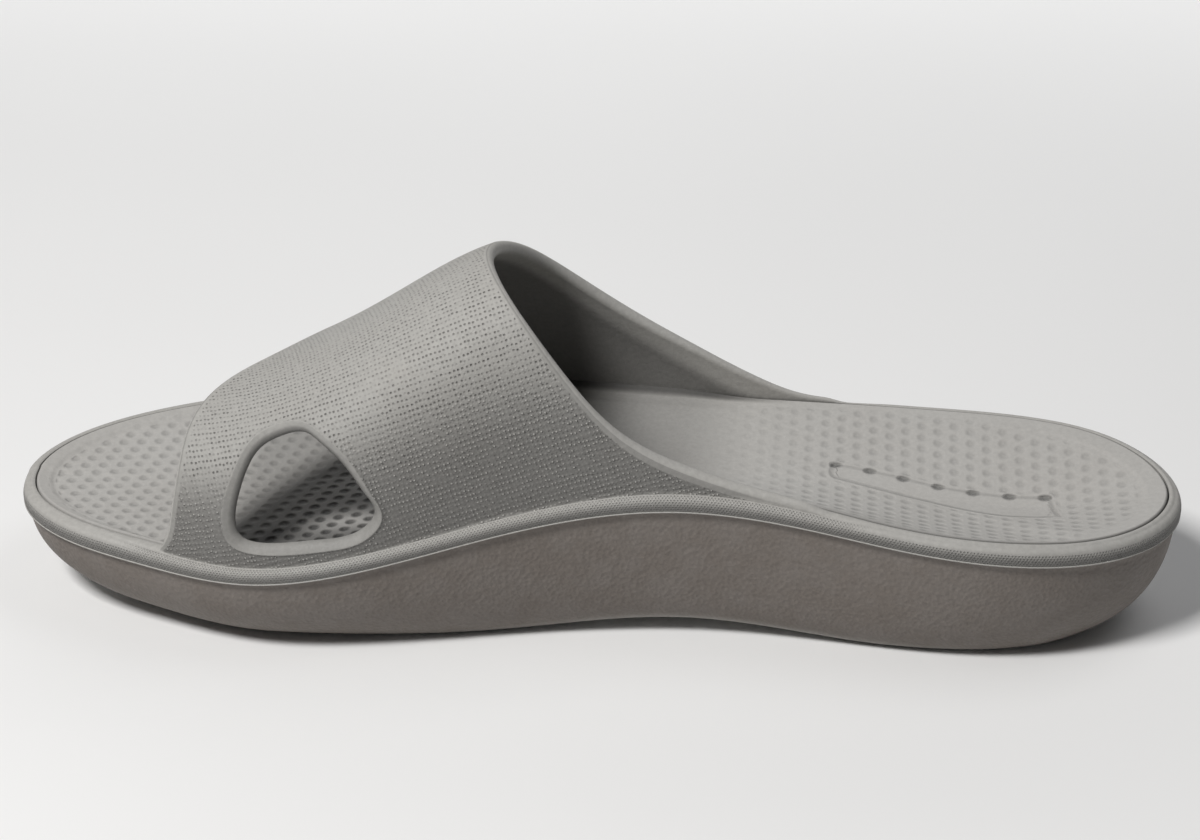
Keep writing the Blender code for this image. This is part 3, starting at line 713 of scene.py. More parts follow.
class Shell:
    """A skin of four-sided faces over numbered points, each with marks that the shaders read."""

    MARKS = {"weave": (0.0, 0.0, OUTSIDE), "bead": (0.0, 0.0, 0.0), "zone": (0.0, 0.0, 0.0)}

    def __init__(self):
        self.points = []
        self.faces = []
        self.marks = {name: [] for name in self.MARKS}
        self.count = 0

    def add(self, points, **marks):
        points = np.asarray(points, float)
        numbers = self.count + np.arange(points[..., 0].size).reshape(points.shape[:-1])
        self.points.append(points.reshape(-1, 3))
        for name, plain in self.MARKS.items():
            value = np.broadcast_to(marks.get(name, plain), points.shape)
            self.marks[name].append(value.reshape(-1, 3))
        self.count += numbers.size
        return numbers

    def cover(self, grid, closed=False, leave=None):
        if closed:
            grid = np.concatenate([grid, grid[:, :1]], 1)
        cells = np.stack([grid[:-1, :-1], grid[:-1, 1:], grid[1:, 1:], grid[1:, :-1]], -1)
        if leave is not None:
            cells = cells[~leave]
        self.faces.append(cells.reshape(-1, 4))

    def join(self, first, second, closed=True):
        self.cover(np.stack([first, second]), closed)

    def grow(self, row, points, **marks):
        """Add a loop and join it to the row before it."""
        following = self.add(points, **marks)
        self.join(row, following)
        return following


def mark(first, second, third):
    return np.stack(np.broadcast_arrays(first, second, third), -1)


def strap_shares():
    """The strap's cells: shares v across it and t from front to back, and where the hole's block is."""
    front, back = HOLE_BLOCK
    before = np.linspace(0, front, FRONT_CELLS + 1)
    block = np.linspace(front, back, BLOCK_CELLS + 1)
    behind = np.linspace(back, 1, BACK_CELLS + 1)
    t = np.concatenate([before[:-1], block[:-1], behind])
    low = np.linspace(0, HOLE_BLOCK_TOP, BLOCK_TOP_CELLS + 1)
    v = np.concatenate([low[:-1], np.linspace(HOLE_BLOCK_TOP, 1, OUTER_CELLS + 1)])
    return v, t, (FRONT_CELLS, FRONT_CELLS + BLOCK_CELLS)


def perimeter(t):
    """Places round the outline, and the numbers of those where the strap's front and back edges end."""
    along_in = FRONT_EDGE[0]["along"] * (1 - t) + BACK_EDGE[0]["along"] * t
    along_out = FRONT_EDGE[-1]["along"] * (1 - t) + BACK_EDGE[-1]["along"] * t
    inner = place(along_in, True)[::-1]
    outer = place(along_out, False)
    parts = (
        np.linspace(0, inner[0], HEEL_CELLS + 1),
        inner,
        np.linspace(inner[-1], TOE, TOE_CELLS + 1),
        np.linspace(TOE, outer[0], TOE_CELLS + 1),
        outer,
        np.linspace(outer[-1], ROUND, HEEL_CELLS + 1),
    )
    u = np.concatenate([part[:-1] for part in parts])
    foot = len(t) - 1
    back_in = HEEL_CELLS
    front_in = back_in + foot
    front_out = front_in + 2 * TOE_CELLS
    back_out = front_out + foot
    return u, {"back_in": back_in, "front_in": front_in, "front_out": front_out, "back_out": back_out}


def middle_line(u):
    x = outline(u)[0][:, 0]
    x = ((x + np.roll(x[::-1], 1)) / 2)[: len(u) // 2 + 1]
    end = MIDDLE_END * BALL_WIDTH
    share = (end + x * (LENGTH - 2 * end) / LENGTH) / LENGTH
    sides = [place(share, True), place(share, False)]
    return sum(loop(side, 0.0, seam_height(side) + rim_height(side)) for side in sides) / 2


def hollow_line(u, drop):
    line = middle_line(u)
    line[:, 2] -= FOOTBED_DEPTH * section(SOLE_SECTIONS, "hollow", line[:, 0]) + drop
    return line


def full_round(half):
    return np.concatenate([half, half[-2:0:-1]])


def bowl(edge, middle, share):
    """A loop of a bowl, which is steepest at its edge."""
    spread = full_round(middle)
    point = edge * (1 - share) + spread * share
    point[:, 2] = edge[:, 2] + (spread[:, 2] - edge[:, 2]) * math.sin(share * math.pi / 2)
    return point


def under_loop(edge, middle, share):
    """A loop of the underside."""
    points = edge * (1 - share) + full_round(middle) * share
    points[:, 2] = under_height(points[:, 0])
    return points


def fill(shell, edge, middle, shares, row, marker=None, shape=bowl):
    """Cover the room from an edge loop, numbered row, to its middle line."""
    for share in shares[1:-1]:
        points = shape(edge, middle, share)
        row = shell.grow(row, points, **(marker(points, share) if marker else {}))
    marks = marker(middle, 1.0) if marker else {}
    shell.join(row, full_round(shell.add(middle, **marks)))


def add_underside(shell, u):
    edge = side_loop(u, SIDE_TURNS[0])
    first = shell.add(edge)
    middle = middle_line(u)
    middle[:, 2] = under_height(middle[:, 0])
    fill(shell, edge, middle, FLOOR_SHARES, first, shape=under_loop)
    return first


GRID_ALONG = np.linspace(0.24, 0.96, 73)
GRID_TURN = np.linspace(0.0, 180.0, 181)
GRID_POINTS = arch(*np.meshgrid(GRID_ALONG, GRID_TURN, indexing="ij"))
GRID_STEPS = np.linalg.norm(np.diff(GRID_POINTS, axis=1), axis=2)
GRID_RUN = np.concatenate([GRID_POINTS[:, :1, 2], GRID_STEPS], 1).cumsum(1)


def weave_spot(along, turn):
    """Millimetres in two crossed directions on the strap, with the rows rising towards the heel."""
    x = np.interp(along, GRID_ALONG, np.arange(len(GRID_ALONG)))
    i = np.clip(x.astype(int), 0, len(GRID_ALONG) - 2)
    j = np.clip(np.asarray(turn).astype(int), 0, len(GRID_TURN) - 2)
    a, b = x - i, turn - j
    low = GRID_RUN[i, j] * (1 - b) + GRID_RUN[i, j + 1] * b
    high = GRID_RUN[i + 1, j] * (1 - b) + GRID_RUN[i + 1, j + 1] * b
    up = (low * (1 - a) + high * a) * 1000
    along_mm = along * LENGTH * 1000
    tilt = math.radians(WEAVE_TILT)
    return along_mm * math.cos(tilt) - up * math.sin(tilt), up * math.cos(tilt) + along_mm * math.sin(tilt)


def gap_to(points, line):
    """Distance of each point to the nearest point of a line, in millimetres."""
    flat = points.reshape(-1, 3)
    best = np.empty(len(flat))
    for start in range(0, len(flat), NEAREST_BATCH):
        part = flat[start : start + NEAREST_BATCH]
        best[start : start + NEAREST_BATCH] = np.linalg.norm(part[:, None] - line[None], axis=2).min(1)
    return best.reshape(points.shape[:-1]) * 1000


EDGE_SHARES = np.linspace(0.0, 1.0, 500)
FRONT_LINE = skin(*strap_place(EDGE_SHARES, 0.0), 0)
BACK_LINE = skin(*strap_place(EDGE_SHARES, 1.0), 0)
HOLE_ANGLES = np.linspace(-math.pi, math.pi, 400)
HOLE_LINE = skin(*hole_place(HOLE_ANGLES, hole_round(HOLE_ANGLES)), 0)


def knit_room(points, turn):
    """How far a point of the outer skin is inside the textured field, in millimetres."""
    low = smooth(1 - turn / LOW_TURN)
    back = gap_to(points, BACK_LINE) - (BACK_BORDER + (LOW_BORDER - BACK_BORDER) * low) * 1000
    front = gap_to(points, FRONT_LINE) - FRONT_BORDER * 1000
    hole = gap_to(points, HOLE_LINE) - HOLE_SMOOTH * 1000
    return np.minimum(np.minimum(back, front), hole)


def weave_foot(u):
    along = outline(u)[0][:, 0] / LENGTH
    return weave_spot(along, np.where(u < TOE, 0.0, 180.0))


def inner_marks(points):
    """Painted shade on the strap's inside, darker away from its edges, where the light ends."""
    gap = np.minimum(gap_to(points, BACK_LINE), gap_to(points, FRONT_LINE))
    return {"zone": mark(-smooth((gap - STRAP_WALL * 1000) / INNER_FADE), 0.0, 0.0)}


def outer_marks(points, along, turn):
    across, round_arch = weave_spot(along, turn)
    low = mark(0.0, 0.0, -np.minimum(turn, 180 - turn) / 180)
    return {"weave": mark(across, round_arch, knit_room(points, turn)), "zone": low}


def add_hole(shell, grids, v, t, block):
    start, end = block
    top = BLOCK_TOP_CELLS
    steps = [(i, start) for i in range(top)] + [(top, j) for j in range(start, end)]
    steps += [(i, end) for i in range(top, 0, -1)] + [(0, j) for j in range(end, start, -1)]
    i = np.array([step[0] for step in steps])
    j = np.array([step[1] for step in steps])
    along, turn = strap_place(v[i], t[j])
    angle = np.arctan2((turn - HOLE_MIDDLE["turn"]) * TURN_LENGTH, (along - HOLE_MIDDLE["along"]) * LENGTH)
    rows = [grids[0][i, j]]
    edge = hole_round(angle)
    wide = hole_place(angle, edge + HOLE_BORDER)
    for share in np.linspace(0, 1, HOLE_RINGS + 1)[1:]:
        spot = (along + (wide[0] - along) * share, turn + (wide[1] - turn) * share)
        points = skin(*spot, 0)
        rows.append(shell.add(points, **outer_marks(points, *spot)))
    for share in np.linspace(0, 1, LIP_RINGS + 1)[1:-1]:
        spot = hole_place(angle, edge + HOLE_BORDER * (1 - share))
        points = skin(*spot, -math.sin(math.pi * share) * HOLE_LIP / STRAP_WALL)
        rows.append(shell.add(points, **outer_marks(points, *spot)))
    for share, bulge in zip(*round_shares()):
        spot = hole_place(angle, edge * (1 - bulge))
        # Painted shade in the hole's rounded edge, growing into the round and left out along its bottom.
        dark = HOLE_SHADE * smooth(np.sin(angle) + HOLE_SHADE_TURN) * smooth(share * HOLE_SHADE_RISE)
        marks = {"weave": mark(*weave_spot(*spot), FOOT_ROOM), "zone": mark(-dark, 0.0, -spot[1] / 180)}
        rows.append(shell.add(skin(*spot, share**HOLE_LEAN), **marks))
    narrow = hole_place(angle, edge)
    # The inner skin round the hole gets the strap's full painted shade.
    for share in np.linspace(1, 0, HOLE_RINGS + 1)[1:-1]:
        spot = (along + (narrow[0] - along) * share, turn + (narrow[1] - turn) * share)
        rows.append(shell.add(skin(*spot, 1), zone=(-1.0, 0.0, 0.0)))
    rows.append(grids[1][i, j])
    shell.cover(np.stack(rows), closed=True)


def add_strap(shell, outside, inside, columns, corners, v, t, block):
    along, turn = strap_place(v[1:-1, None], t[None, :])
    foot = len(t)
    grids = []
    for depth, ring in ((0, outside), (1, inside)):
        first = ring[corners["back_in"] : corners["front_in"] + 1][::-1]
        last = ring[corners["front_out"] : corners["front_out"] + foot]
        points = skin(along, turn, depth)
        marks = outer_marks(points, along, turn) if depth == 0 else inner_marks(points)
        grids.append(np.concatenate([first[None], shell.add(points, **marks), last[None]]))
    leave = np.zeros((len(v) - 1, len(t) - 1), bool)
    leave[:BLOCK_TOP_CELLS, block[0] : block[1]] = True
    for grid in grids:
        shell.cover(grid, leave=leave)
    for j, t_edge, start, stop in ((0, 0.0, "front_in", "front_out"), (-1, 1.0, "back_in", "back_out")):
        middle = shell.add(strap_edge(v, t_edge)[1:-1, 1:-1])
        middle = np.concatenate([columns[corners[start]][None], middle, columns[corners[stop]][None]])
        shell.cover(np.concatenate([grids[0][:, j, None], middle, grids[1][:, j, None]], 1))
    add_hole(shell, grids, v, t, block)


def face_profile():
    """The rim's outer face in fine steps: shares of the inset and of the rise, and the way run."""
    inset = np.array(column(RIM_FACE, "inset") + [1.0])
    rise = np.array(column(RIM_FACE, "rise") + [1.0])
    steps = np.hypot(np.diff(inset) * STRAP_INSET, np.diff(rise) * RIM_HEIGHT)
    run = np.concatenate([[0.0], np.cumsum(steps)])
    at = np.linspace(0.0, run[-1], FACE_ROWS)
    curve = spline(run, np.stack([inset, rise], 1), at)
    return curve[:, 0], curve[:, 1], at


def build_body():
    shell = Shell()
    v, t, block = strap_shares()
    u, corners = perimeter(t)
    row = add_underside(shell, u)
    round_mm = u * 1000
    for turn in SIDE_TURNS[1:]:
        row = shell.grow(row, side_loop(u, turn), zone=(0.0, 0.0, turn))
    for inset, rise, pale in FLASH_ROWS:
        points = loop(u, inset, seam_height(u) + rise)
        row = shell.grow(row, points, bead=mark(round_mm, 0.0, 0.0), zone=(pale, 0.0, 0.0))
    insets, rises, ways = face_profile()
    stands = strap_stands(u)
    for inset, rise, way in zip(insets[:-1], rises[:-1], ways[:-1]):
        height = (rim_height(u) - valley_drop(u)) * rise
        points = loop(u, STRAP_INSET * inset, seam_height(u) + height)
        dots = np.where(way > STIPPLE_TOP, stands, 1.0)
        marks = {"bead": mark(round_mm, way * 1000, dots), "zone": (0.0, 1.0, 0.0)}
        row = shell.grow(row, points, weave=mark(*weave_foot(u), OUTSIDE), **marks)
    marks = {"bead": mark(round_mm, ways[-1] * 1000, stands), "weave": mark(*weave_foot(u), FOOT_ROOM)}
    outside = shell.add(wall_foot(u), **marks)
    shell.join(row, outside)
    # Painted shade on the rim's inner line, beside the footbed.
    inside = shell.add(rim_inside(u), zone=(-RIM_INSIDE_SHADE, 0.0, 0.0))
    tops = rim_top(u)[:, 1:-1]
    columns = {}
    count = len(u)
    toe_run = range(corners["front_in"], corners["front_out"] + 1)
    heel_run = [i % count for i in range(corners["back_out"], count + corners["back_in"] + 1)]
    for run in (list(toe_run), heel_run):
        numbers = shell.add(tops[run])
        columns.update(zip(run, numbers))
        shell.cover(np.concatenate([outside[run][:, None], numbers, inside[run][:, None]], 1))
    add_strap(shell, outside, inside, columns, corners, v, t, block)
    row = inside
    for share in RECESS_SHARES:
        floor = rim_inside(u)
        floor[:, 2] -= FOOTBED_THICKNESS * share
        row = shell.grow(row, floor)
    fill(shell, floor, hollow_line(u, FOOTBED_THICKNESS), RECESS_FLOOR_SHARES, row)
    return shell


def lattice_spot(points):
    """Plan coordinates that turn with the forefoot, in millimetres, for the dimples."""
    share = (points[..., 0] / LENGTH - LEAN_BACK) / LEAN_RUN
    lean = LATTICE_LEAN * smooth(share)
    inside = np.clip(share, 0, 1)
    summed = inside**3 - inside**4 / 2 + np.maximum(share - 1, 0)
    swept = LATTICE_LEAN * LENGTH * LEAN_RUN * summed
    return (points[..., 0] + points[..., 1] * lean) * 1000, (points[..., 1] - swept) * 1000


def frame_gap(points):
    """Distances to the line of the bare frame and to the pips on it, in millimetres, and the inside."""
    share = np.linspace(FRAME[0]["along"], FRAME[-1]["along"], 160)
    upper, lower = curve(FRAME, "upper", share), curve(FRAME, "lower", share)
    x = share * LENGTH * 1000
    lines = [np.stack([x, upper], 1), np.stack([x, lower], 1)]
    ends = np.linspace(0.0, 1.0, 24)
    for at, bulge in ((0, -FRAME_SLANT), (-1, FRAME_ROUND)):
        way = upper[at] + (lower[at] - upper[at]) * ends
        out = bulge * (ends if at == 0 else np.sqrt(np.maximum(0.0, 1 - (2 * ends - 1) ** 2)))
        lines.append(np.stack([x[at] + out, way], 1))
    line = np.concatenate(lines)
    pips = np.array(FRAME_PIPS) * LENGTH * 1000
    pip_line = np.stack([pips, np.interp(pips, x, upper)], 1)
    plan = points[..., :2].reshape(-1, 2) * 1000
    near = (plan[:, 0] > x.min() - FRAME_REACH) & (plan[:, 0] < x.max() + FRAME_REACH)
    chosen = plan[near]
    gap = np.full(len(plan), FRAME_REACH)
    pip_gap = np.full(len(plan), FRAME_REACH)
    gap[near] = np.linalg.norm(chosen[:, None] - line[None], axis=2).min(1)
    away = (chosen[:, None] - pip_line[None]) / (PIP_STRETCH, 1.0)
    pip_gap[near] = np.linalg.norm(away, axis=2).min(1)
    high, low = np.interp(plan[:, 0], x, upper), np.interp(plan[:, 0], x, lower)
    within = (plan[:, 0] > x.min()) & (plan[:, 0] < x.max()) & (plan[:, 1] > high) & (plan[:, 1] < low)
    return [value.reshape(points.shape[:-1]) for value in (gap, pip_gap, within)]


def field_marks(points, room, shade=0.0, crevice=0.0):
    """Marks of the dimpled field. Room is how far inside the field a point is, in millimetres."""
    along_mm, across_mm = lattice_spot(points)
    share = points[..., 0] / LENGTH
    strength = section(DIMPLES, "depth", points[..., 0])
    # The strap's painted shadow on the forefoot, and painted shade under the strap and towards the inner
    # wall.
    strap_shadow = smooth((SHADE_LINE + SHADE_SLOPE * points[..., 1] - points[..., 0]) / SHADE_FADE)
    strap_shadow = strap_shadow * smooth((share - SHADE_BACK) / UNDER_FADE)
    strength = strength + (1 - strength) * strap_shadow
    under = smooth((share - UNDER_BACK) / UNDER_FADE) * smooth((UNDER_FRONT - share) / UNDER_END)
    shade = np.maximum(shade, UNDER_SHADE * under * (1 - strap_shadow))
    shade = np.maximum(shade, NEAR_SHADE * strap_shadow * smooth((points[..., 1] - NEAR_LINE) / NEAR_FADE))
    gap, pip_gap, within = frame_gap(points)
    return {
        "weave": mark(along_mm, across_mm, room),
        "bead": mark(np.where(within, 0.0, strength), gap, np.where(within, -gap, gap)),
        "zone": mark(pip_gap, shade, crevice),
    }


def wall_share(u, back):
    """1 beside the strap's outer wall, from this far along to WALL_FRONT, and 0 away from it."""
    along = outline(u)[0][:, 0] / LENGTH
    return (u > TOE) * smooth((along - back) / WALL_FADE) * smooth((WALL_FRONT - along) / WALL_FADE)


def build_footbed():
    shell = Shell()
    u, _ = perimeter(strap_shares()[1])
    height = seam_height(u) + rim_height(u) + FOOTBED_PROUD
    along = outline(u)[0][:, 0] / LENGTH
    near_wall = wall_share(u, WALL_BACK)
    open_edge = 1 - near_wall * (1 - NEAR_FIT)
    width = rim_width(u) + FIT_GAP * open_edge
    low = loop(u, rim_width(u) + FIT_GAP, height - FOOTBED_PROUD - FOOTBED_THICKNESS + FIT_GAP)
    row = shell.add(low)
    fill(shell, low, hollow_line(u, FOOTBED_THICKNESS - FIT_GAP), RECESS_FLOOR_SHARES, row)
    step = margin_step(u) * (1 - near_wall)
    clear = step / FOOTBED_STEP
    band = MARGIN_LEAST + (1 - MARGIN_LEAST) * smooth(clear / 0.3)
    profile = [(0.0, FOOTBED_EDGE + EDGE_SKIRT, 1.0)]
    profile += [(FOOTBED_EDGE * inset, FOOTBED_EDGE * drop, dark) for inset, drop, dark in EDGE_PROFILE]
    # Painted shade in the gap at the parting line, lighter towards the toe.
    dark_gap = 1 - TOE_PALE * smooth((along - TOE_PALE_RUN[0]) / TOE_PALE_RUN[1])
    # How much painted shade falls beside the far wall.
    bed_shade = wall_share(u, WING_BACK)
    for inset, drop, crevice in profile:
        points = loop(u, width + inset * open_edge, height - drop * open_edge + FOOT_RISE * near_wall)
        row = shell.grow(row, points, **field_marks(points, OUTSIDE, bed_shade, crevice * dark_gap))
    begin = FOOTBED_EDGE * open_edge
    stop = margin_width(u) * band + FOOT_REACH * near_wall
    for share in MARGIN_SHARES[1:]:
        rise = FOOT_RISE * near_wall * (1 - share) ** RISE_POWER
        points = loop(u, width + begin + (stop - begin) * share, height - FOOTBED_EDGE * share + rise)
        room = (share - 1) * (stop - begin) * 1000 * clear + DIMPLE_EARLY * (1 - clear)
        # Painted shade beside the far wall, fading inwards across the margin.
        shade = bed_shade * smooth((0.75 - share) / 0.60)
        row = shell.grow(row, points, **field_marks(points, room, shade))
    for share in STEP_SHARES[1:]:
        fall = step * smooth(share)
        points = loop(u, width + stop + STEP_WIDTH * band * share, height - FOOTBED_EDGE - fall)
        room = 0.3 + DIMPLE_EARLY * (1 - clear)
        row = shell.grow(row, points, **field_marks(points, room))
    field = loop(u, width + stop + STEP_WIDTH * band, height - FOOTBED_EDGE - step)
    reach = np.linalg.norm((field - full_round(hollow_line(u, 0.0)))[:, :2], axis=1) * 1000

    def marker(points, share):
        start = 0.5 + DIMPLE_EARLY * (1 - clear)
        return field_marks(points, start[: len(points)] + share * reach[: len(points)])

    fill(shell, field, hollow_line(u, 0.0), FIELD_SHARES, row, marker)
    return shell


class Graph:
    """Short ways to write a shader."""

    def __init__(self, name):
        self.material = bpy.data.materials.new(name)
        self.material.use_nodes = True
        self.tree = self.material.node_tree
        self.shader = self.tree.nodes["Principled BSDF"]

    def put(self, socket, value):
        if isinstance(value, bpy.types.NodeSocket):
            self.tree.links.new(value, socket)
        elif value is not None:
            socket.default_value = value

    def node(self, kind, setting=None, **inputs):
        """A new node with one property set, and a number or another node's output in its inputs."""
        made = self.tree.nodes.new("ShaderNode" + kind)
        if setting:
            setattr(made, *setting)
        for name, value in inputs.items():
            self.put(made.inputs[name.replace("_", " ")], value)
        return made

    def math(self, operation, first, second=None, third=None):
        node = self.node("Math", ("operation", operation))
        for socket, value in zip(node.inputs, (first, second, third)):
            self.put(socket, value)
        return node.outputs[0]

    def add(self, first, second):
        return self.math("ADD", first, second)

    def times(self, product, *others):
        for other in others:
            product = self.math("MULTIPLY", product, other)
        return product

    def less(self, value, share):
        return self.math("MULTIPLY_ADD", value, -share, 1.0)

    def range(self, value, low, high, to_low=0.0, to_high=1.0):
        ends = {"From_Min": low, "From_Max": high, "To_Min": to_low, "To_Max": to_high}
        return self.node("MapRange", ("interpolation_type", "SMOOTHSTEP"), Value=value, **ends).outputs[0]

    def split(self, vector):
        return self.node("SeparateXYZ", Vector=vector).outputs

    def mark(self, name):
        return self.split(self.node("Attribute", ("attribute_name", name)).outputs["Vector"])

    def place(self):
        return self.node("TexCoord").outputs["Object"]

    def noise(self, scale, detail=2.0, rough=0.5, stretch=None):
        vector = self.place()
        if stretch:
            vector = self.node("Mapping", Vector=vector, Scale=stretch).outputs[0]
        made = self.node("TexNoise", Vector=vector, Scale=scale, Detail=detail, Roughness=rough)
        return made.outputs["Fac"]

    def cells(self, scale):
        return self.node("TexVoronoi", Vector=self.place(), Scale=scale).outputs["Distance"]

    def chance(self, first, second):
        """Three even random numbers for each pair of whole numbers."""
        pair = self.node("CombineXYZ", X=first, Y=second).outputs[0]
        made = self.node("TexWhiteNoise", ("noise_dimensions", "2D"), Vector=pair)
        return self.split(made.outputs["Color"])

    def dots(self, across, round_arch, pitch, row_pitch, stretch=1.0, shift=0.5, jitter=0.0):
        """Distance to the nearest point of a lattice, in shares of the pitch, and two chances."""
        row = self.math("DIVIDE", round_arch, row_pitch)
        number = self.math("FLOOR", row)
        odd = self.math("MODULO", self.math("ABSOLUTE", number), 2.0)
        spot = self.add(self.math("DIVIDE", across, pitch), self.times(odd, shift))
        x = self.math("SUBTRACT", self.math("FRACT", spot), 0.5)
        y = self.math("SUBTRACT", self.math("FRACT", row), 0.5)
        cell = row_chance = None
        if jitter:
            cell = self.chance(number, self.math("FLOOR", spot))
            row_chance = self.chance(number, ROW_SEED)[0]
            x = self.add(x, self.math("MULTIPLY_ADD", cell[0], jitter, -jitter / 2))
            y = self.add(y, self.math("MULTIPLY_ADD", cell[1], jitter, -jitter / 2))
        y = self.times(y, row_pitch / pitch * stretch)
        gap = self.math("SQRT", self.add(self.times(x, x), self.times(y, y)))
        return gap, cell and cell[2], row_chance

    def mix(self, share, first, second):
        node = self.node("Mix", ("data_type", "RGBA"), Factor=share)
        for socket, value in ((node.inputs[6], first), (node.inputs[7], second)):
            self.put(socket, value if isinstance(value, bpy.types.NodeSocket) else (*value, 1.0))
        return node.outputs[2]

    def shade(self, colour, factor):
        node = self.node("VectorMath", ("operation", "SCALE"), Scale=factor)
        self.put(node.inputs[0], colour)
        return node.outputs[0]

    def darken(self, colour, *steps):
        """The colour, darkened in turn by each pair of a share and an amount."""
        for share, amount in steps:
            colour = self.shade(colour, self.less(share, amount))
        return colour

    def bump(self, height, distance, normal=None, strength=1.0):
        made = self.node("Bump", Strength=strength, Distance=distance, Height=height, Normal=normal)
        return made.outputs[0]

    def finish(self, **inputs):
        """Set the surface's own sockets and give its material."""
        for name, value in inputs.items():
            self.put(self.shader.inputs[name.replace("_", " ")], value)
        return self.material


def body_material():
    g = Graph("moulded_foam_finish")
    across, round_arch, room = g.mark("weave")
    round_mm, way_mm, dotted = g.mark("bead")
    # The zone marks: the flash's paleness above zero and painted shade below it, the rim's face, and where
    # a point is on the sole's side or the strap.
    pale, face, side = g.mark("zone")
    # The woven texture of the strap: fine pits in crossed rows, and raised stitches low on its side.
    across = g.add(across, g.times(g.noise(70.0, 1.0), 0.5))
    field = g.range(room, 0.0, 0.35)
    lower = g.range(side, -0.28, -0.12)
    weave_grid = (WEAVE_PITCH, WEAVE_ROW, 1.0, 0.0)
    pit_gap, pit_size, row_size = g.dots(across, round_arch, *weave_grid, jitter=0.20)
    size = g.times(
        g.range(pit_size, 0.05, 0.7, 0.40, 1.0),
        g.range(row_size, 0.1, 0.7, 0.75, 1.0),
        g.range(g.noise(110.0, 2.0), 0.35, 0.55, 0.70, 1.0),
        g.less(lower, 0.65),
    )
    pit = g.times(g.range(pit_gap, 0.10, 0.36, 1.0, 0.0), size, field)
    shifted = g.add(across, WEAVE_PITCH * 0.5)
    higher = g.add(round_arch, WEAVE_ROW * 0.5)
    knot_gap, knot_size, _ = g.dots(shifted, higher, *weave_grid, jitter=0.32)
    knot_size = g.range(knot_size, 0.1, 0.8, 0.15, 1.0)
    knot = g.times(g.range(knot_gap, 0.06, 0.40, 1.0, 0.0), knot_size, field)
    weave = g.add(g.times(knot, g.add(g.times(lower, 1.2), 0.20)), g.times(pit, -1.1))
    # The fine dots of the rim's face.
    dot_gap, _, _ = g.dots(round_mm, way_mm, STIPPLE_PITCH, STIPPLE_PITCH * 0.8)
    dot = g.times(g.range(dot_gap, 0.12, 0.40, 1.0, 0.0), g.times(dotted, face))
    grain = g.add(g.noise(1500.0, 3.0, 0.6), g.times(g.cells(620.0), -0.8))
    normal = g.bump(g.noise(38.0, 2.0), 0.00035, strength=0.5)
    normal = g.bump(grain, 0.00022, normal, 0.30)
    normal = g.bump(dot, -0.00022, normal)
    normal = g.bump(weave, WEAVE_DEPTH, normal)
    mottle = g.noise(26.0, 4.0, 0.6)
    fleck = g.noise(900.0, 2.0, 0.7)
    colour = g.mix(g.range(mottle, 0.3, 0.7), BODY_COLOUR, BODY_WARM)
    # The sole's side: its own warmer tone and painted shade, darker than the body's colour.
    side_share = g.range(side, 0.02, 0.30)
    shaded_side = g.mix(g.range(g.noise(110.0, 4.0, 0.7), 0.38, 0.62), SIDE_SHADED_COLOUR, SIDE_SHADED_WARM)
    pebble = g.times(g.cells(900.0), side_share)
    normal = g.bump(pebble, 0.00030, normal, 0.6)
    colour = g.mix(side_share, colour, shaded_side)
    colour = g.shade(colour, g.range(fleck, 0.25, 0.75, 0.93, 1.06))
    # Painted shade low on the strap's sides, darker towards the foot but not at the very foot.
    low_strap_shade = g.times(g.range(side, -0.42, -0.12), g.range(side, -0.012, -0.001, 1.0, 0.0))
    colour = g.darken(
        colour,
        (low_strap_shade, STRAP_LOW_SHADE),
        # Painted shade inside the pits.
        (pit, PIT_SHADE),
        # Painted shade between the stitches low on the strap, and a painted highlight on the stitches.
        (g.times(lower, field, g.less(knot, KNOT_HIGHLIGHT)), LOW_GAP_SHADE),
        # Painted shade inside the rim's dots.
        (dot, DOT_SHADE),
        # Painted shade at the foot of the rim's face, so its top reads as lit.
        (g.times(face, g.range(way_mm, *RIM_SHADE_RUN, 1.0, 0.0)), RIM_SHADE),
        # Painted shade on the strap's inside, the hole's rounded edge and the rim's inner line.
        (g.math("MAXIMUM", g.times(pale, -1.0), 0.0), INNER_SHADE),
    )
    flash = g.times(g.math("MAXIMUM", pale, 0.0), g.range(g.noise(300.0, 3.0, 0.7), 0.38, 0.62))
    colour = g.mix(g.times(flash, 0.4), colour, FLASH_COLOUR)
    scuff = g.range(g.noise(34.0, 5.0, 0.7, stretch=(1.0, 1.0, 3.0)), 0.62, 0.72)
    colour = g.mix(g.times(scuff, 0.10), colour, FLASH_COLOUR)
    rough = g.add(g.range(mottle, 0.3, 0.7, 0.55, 0.66), g.times(scuff, 0.06))
    return g.finish(Base_Color=colour, Normal=normal, Roughness=rough, Specular_IOR_Level=0.35)


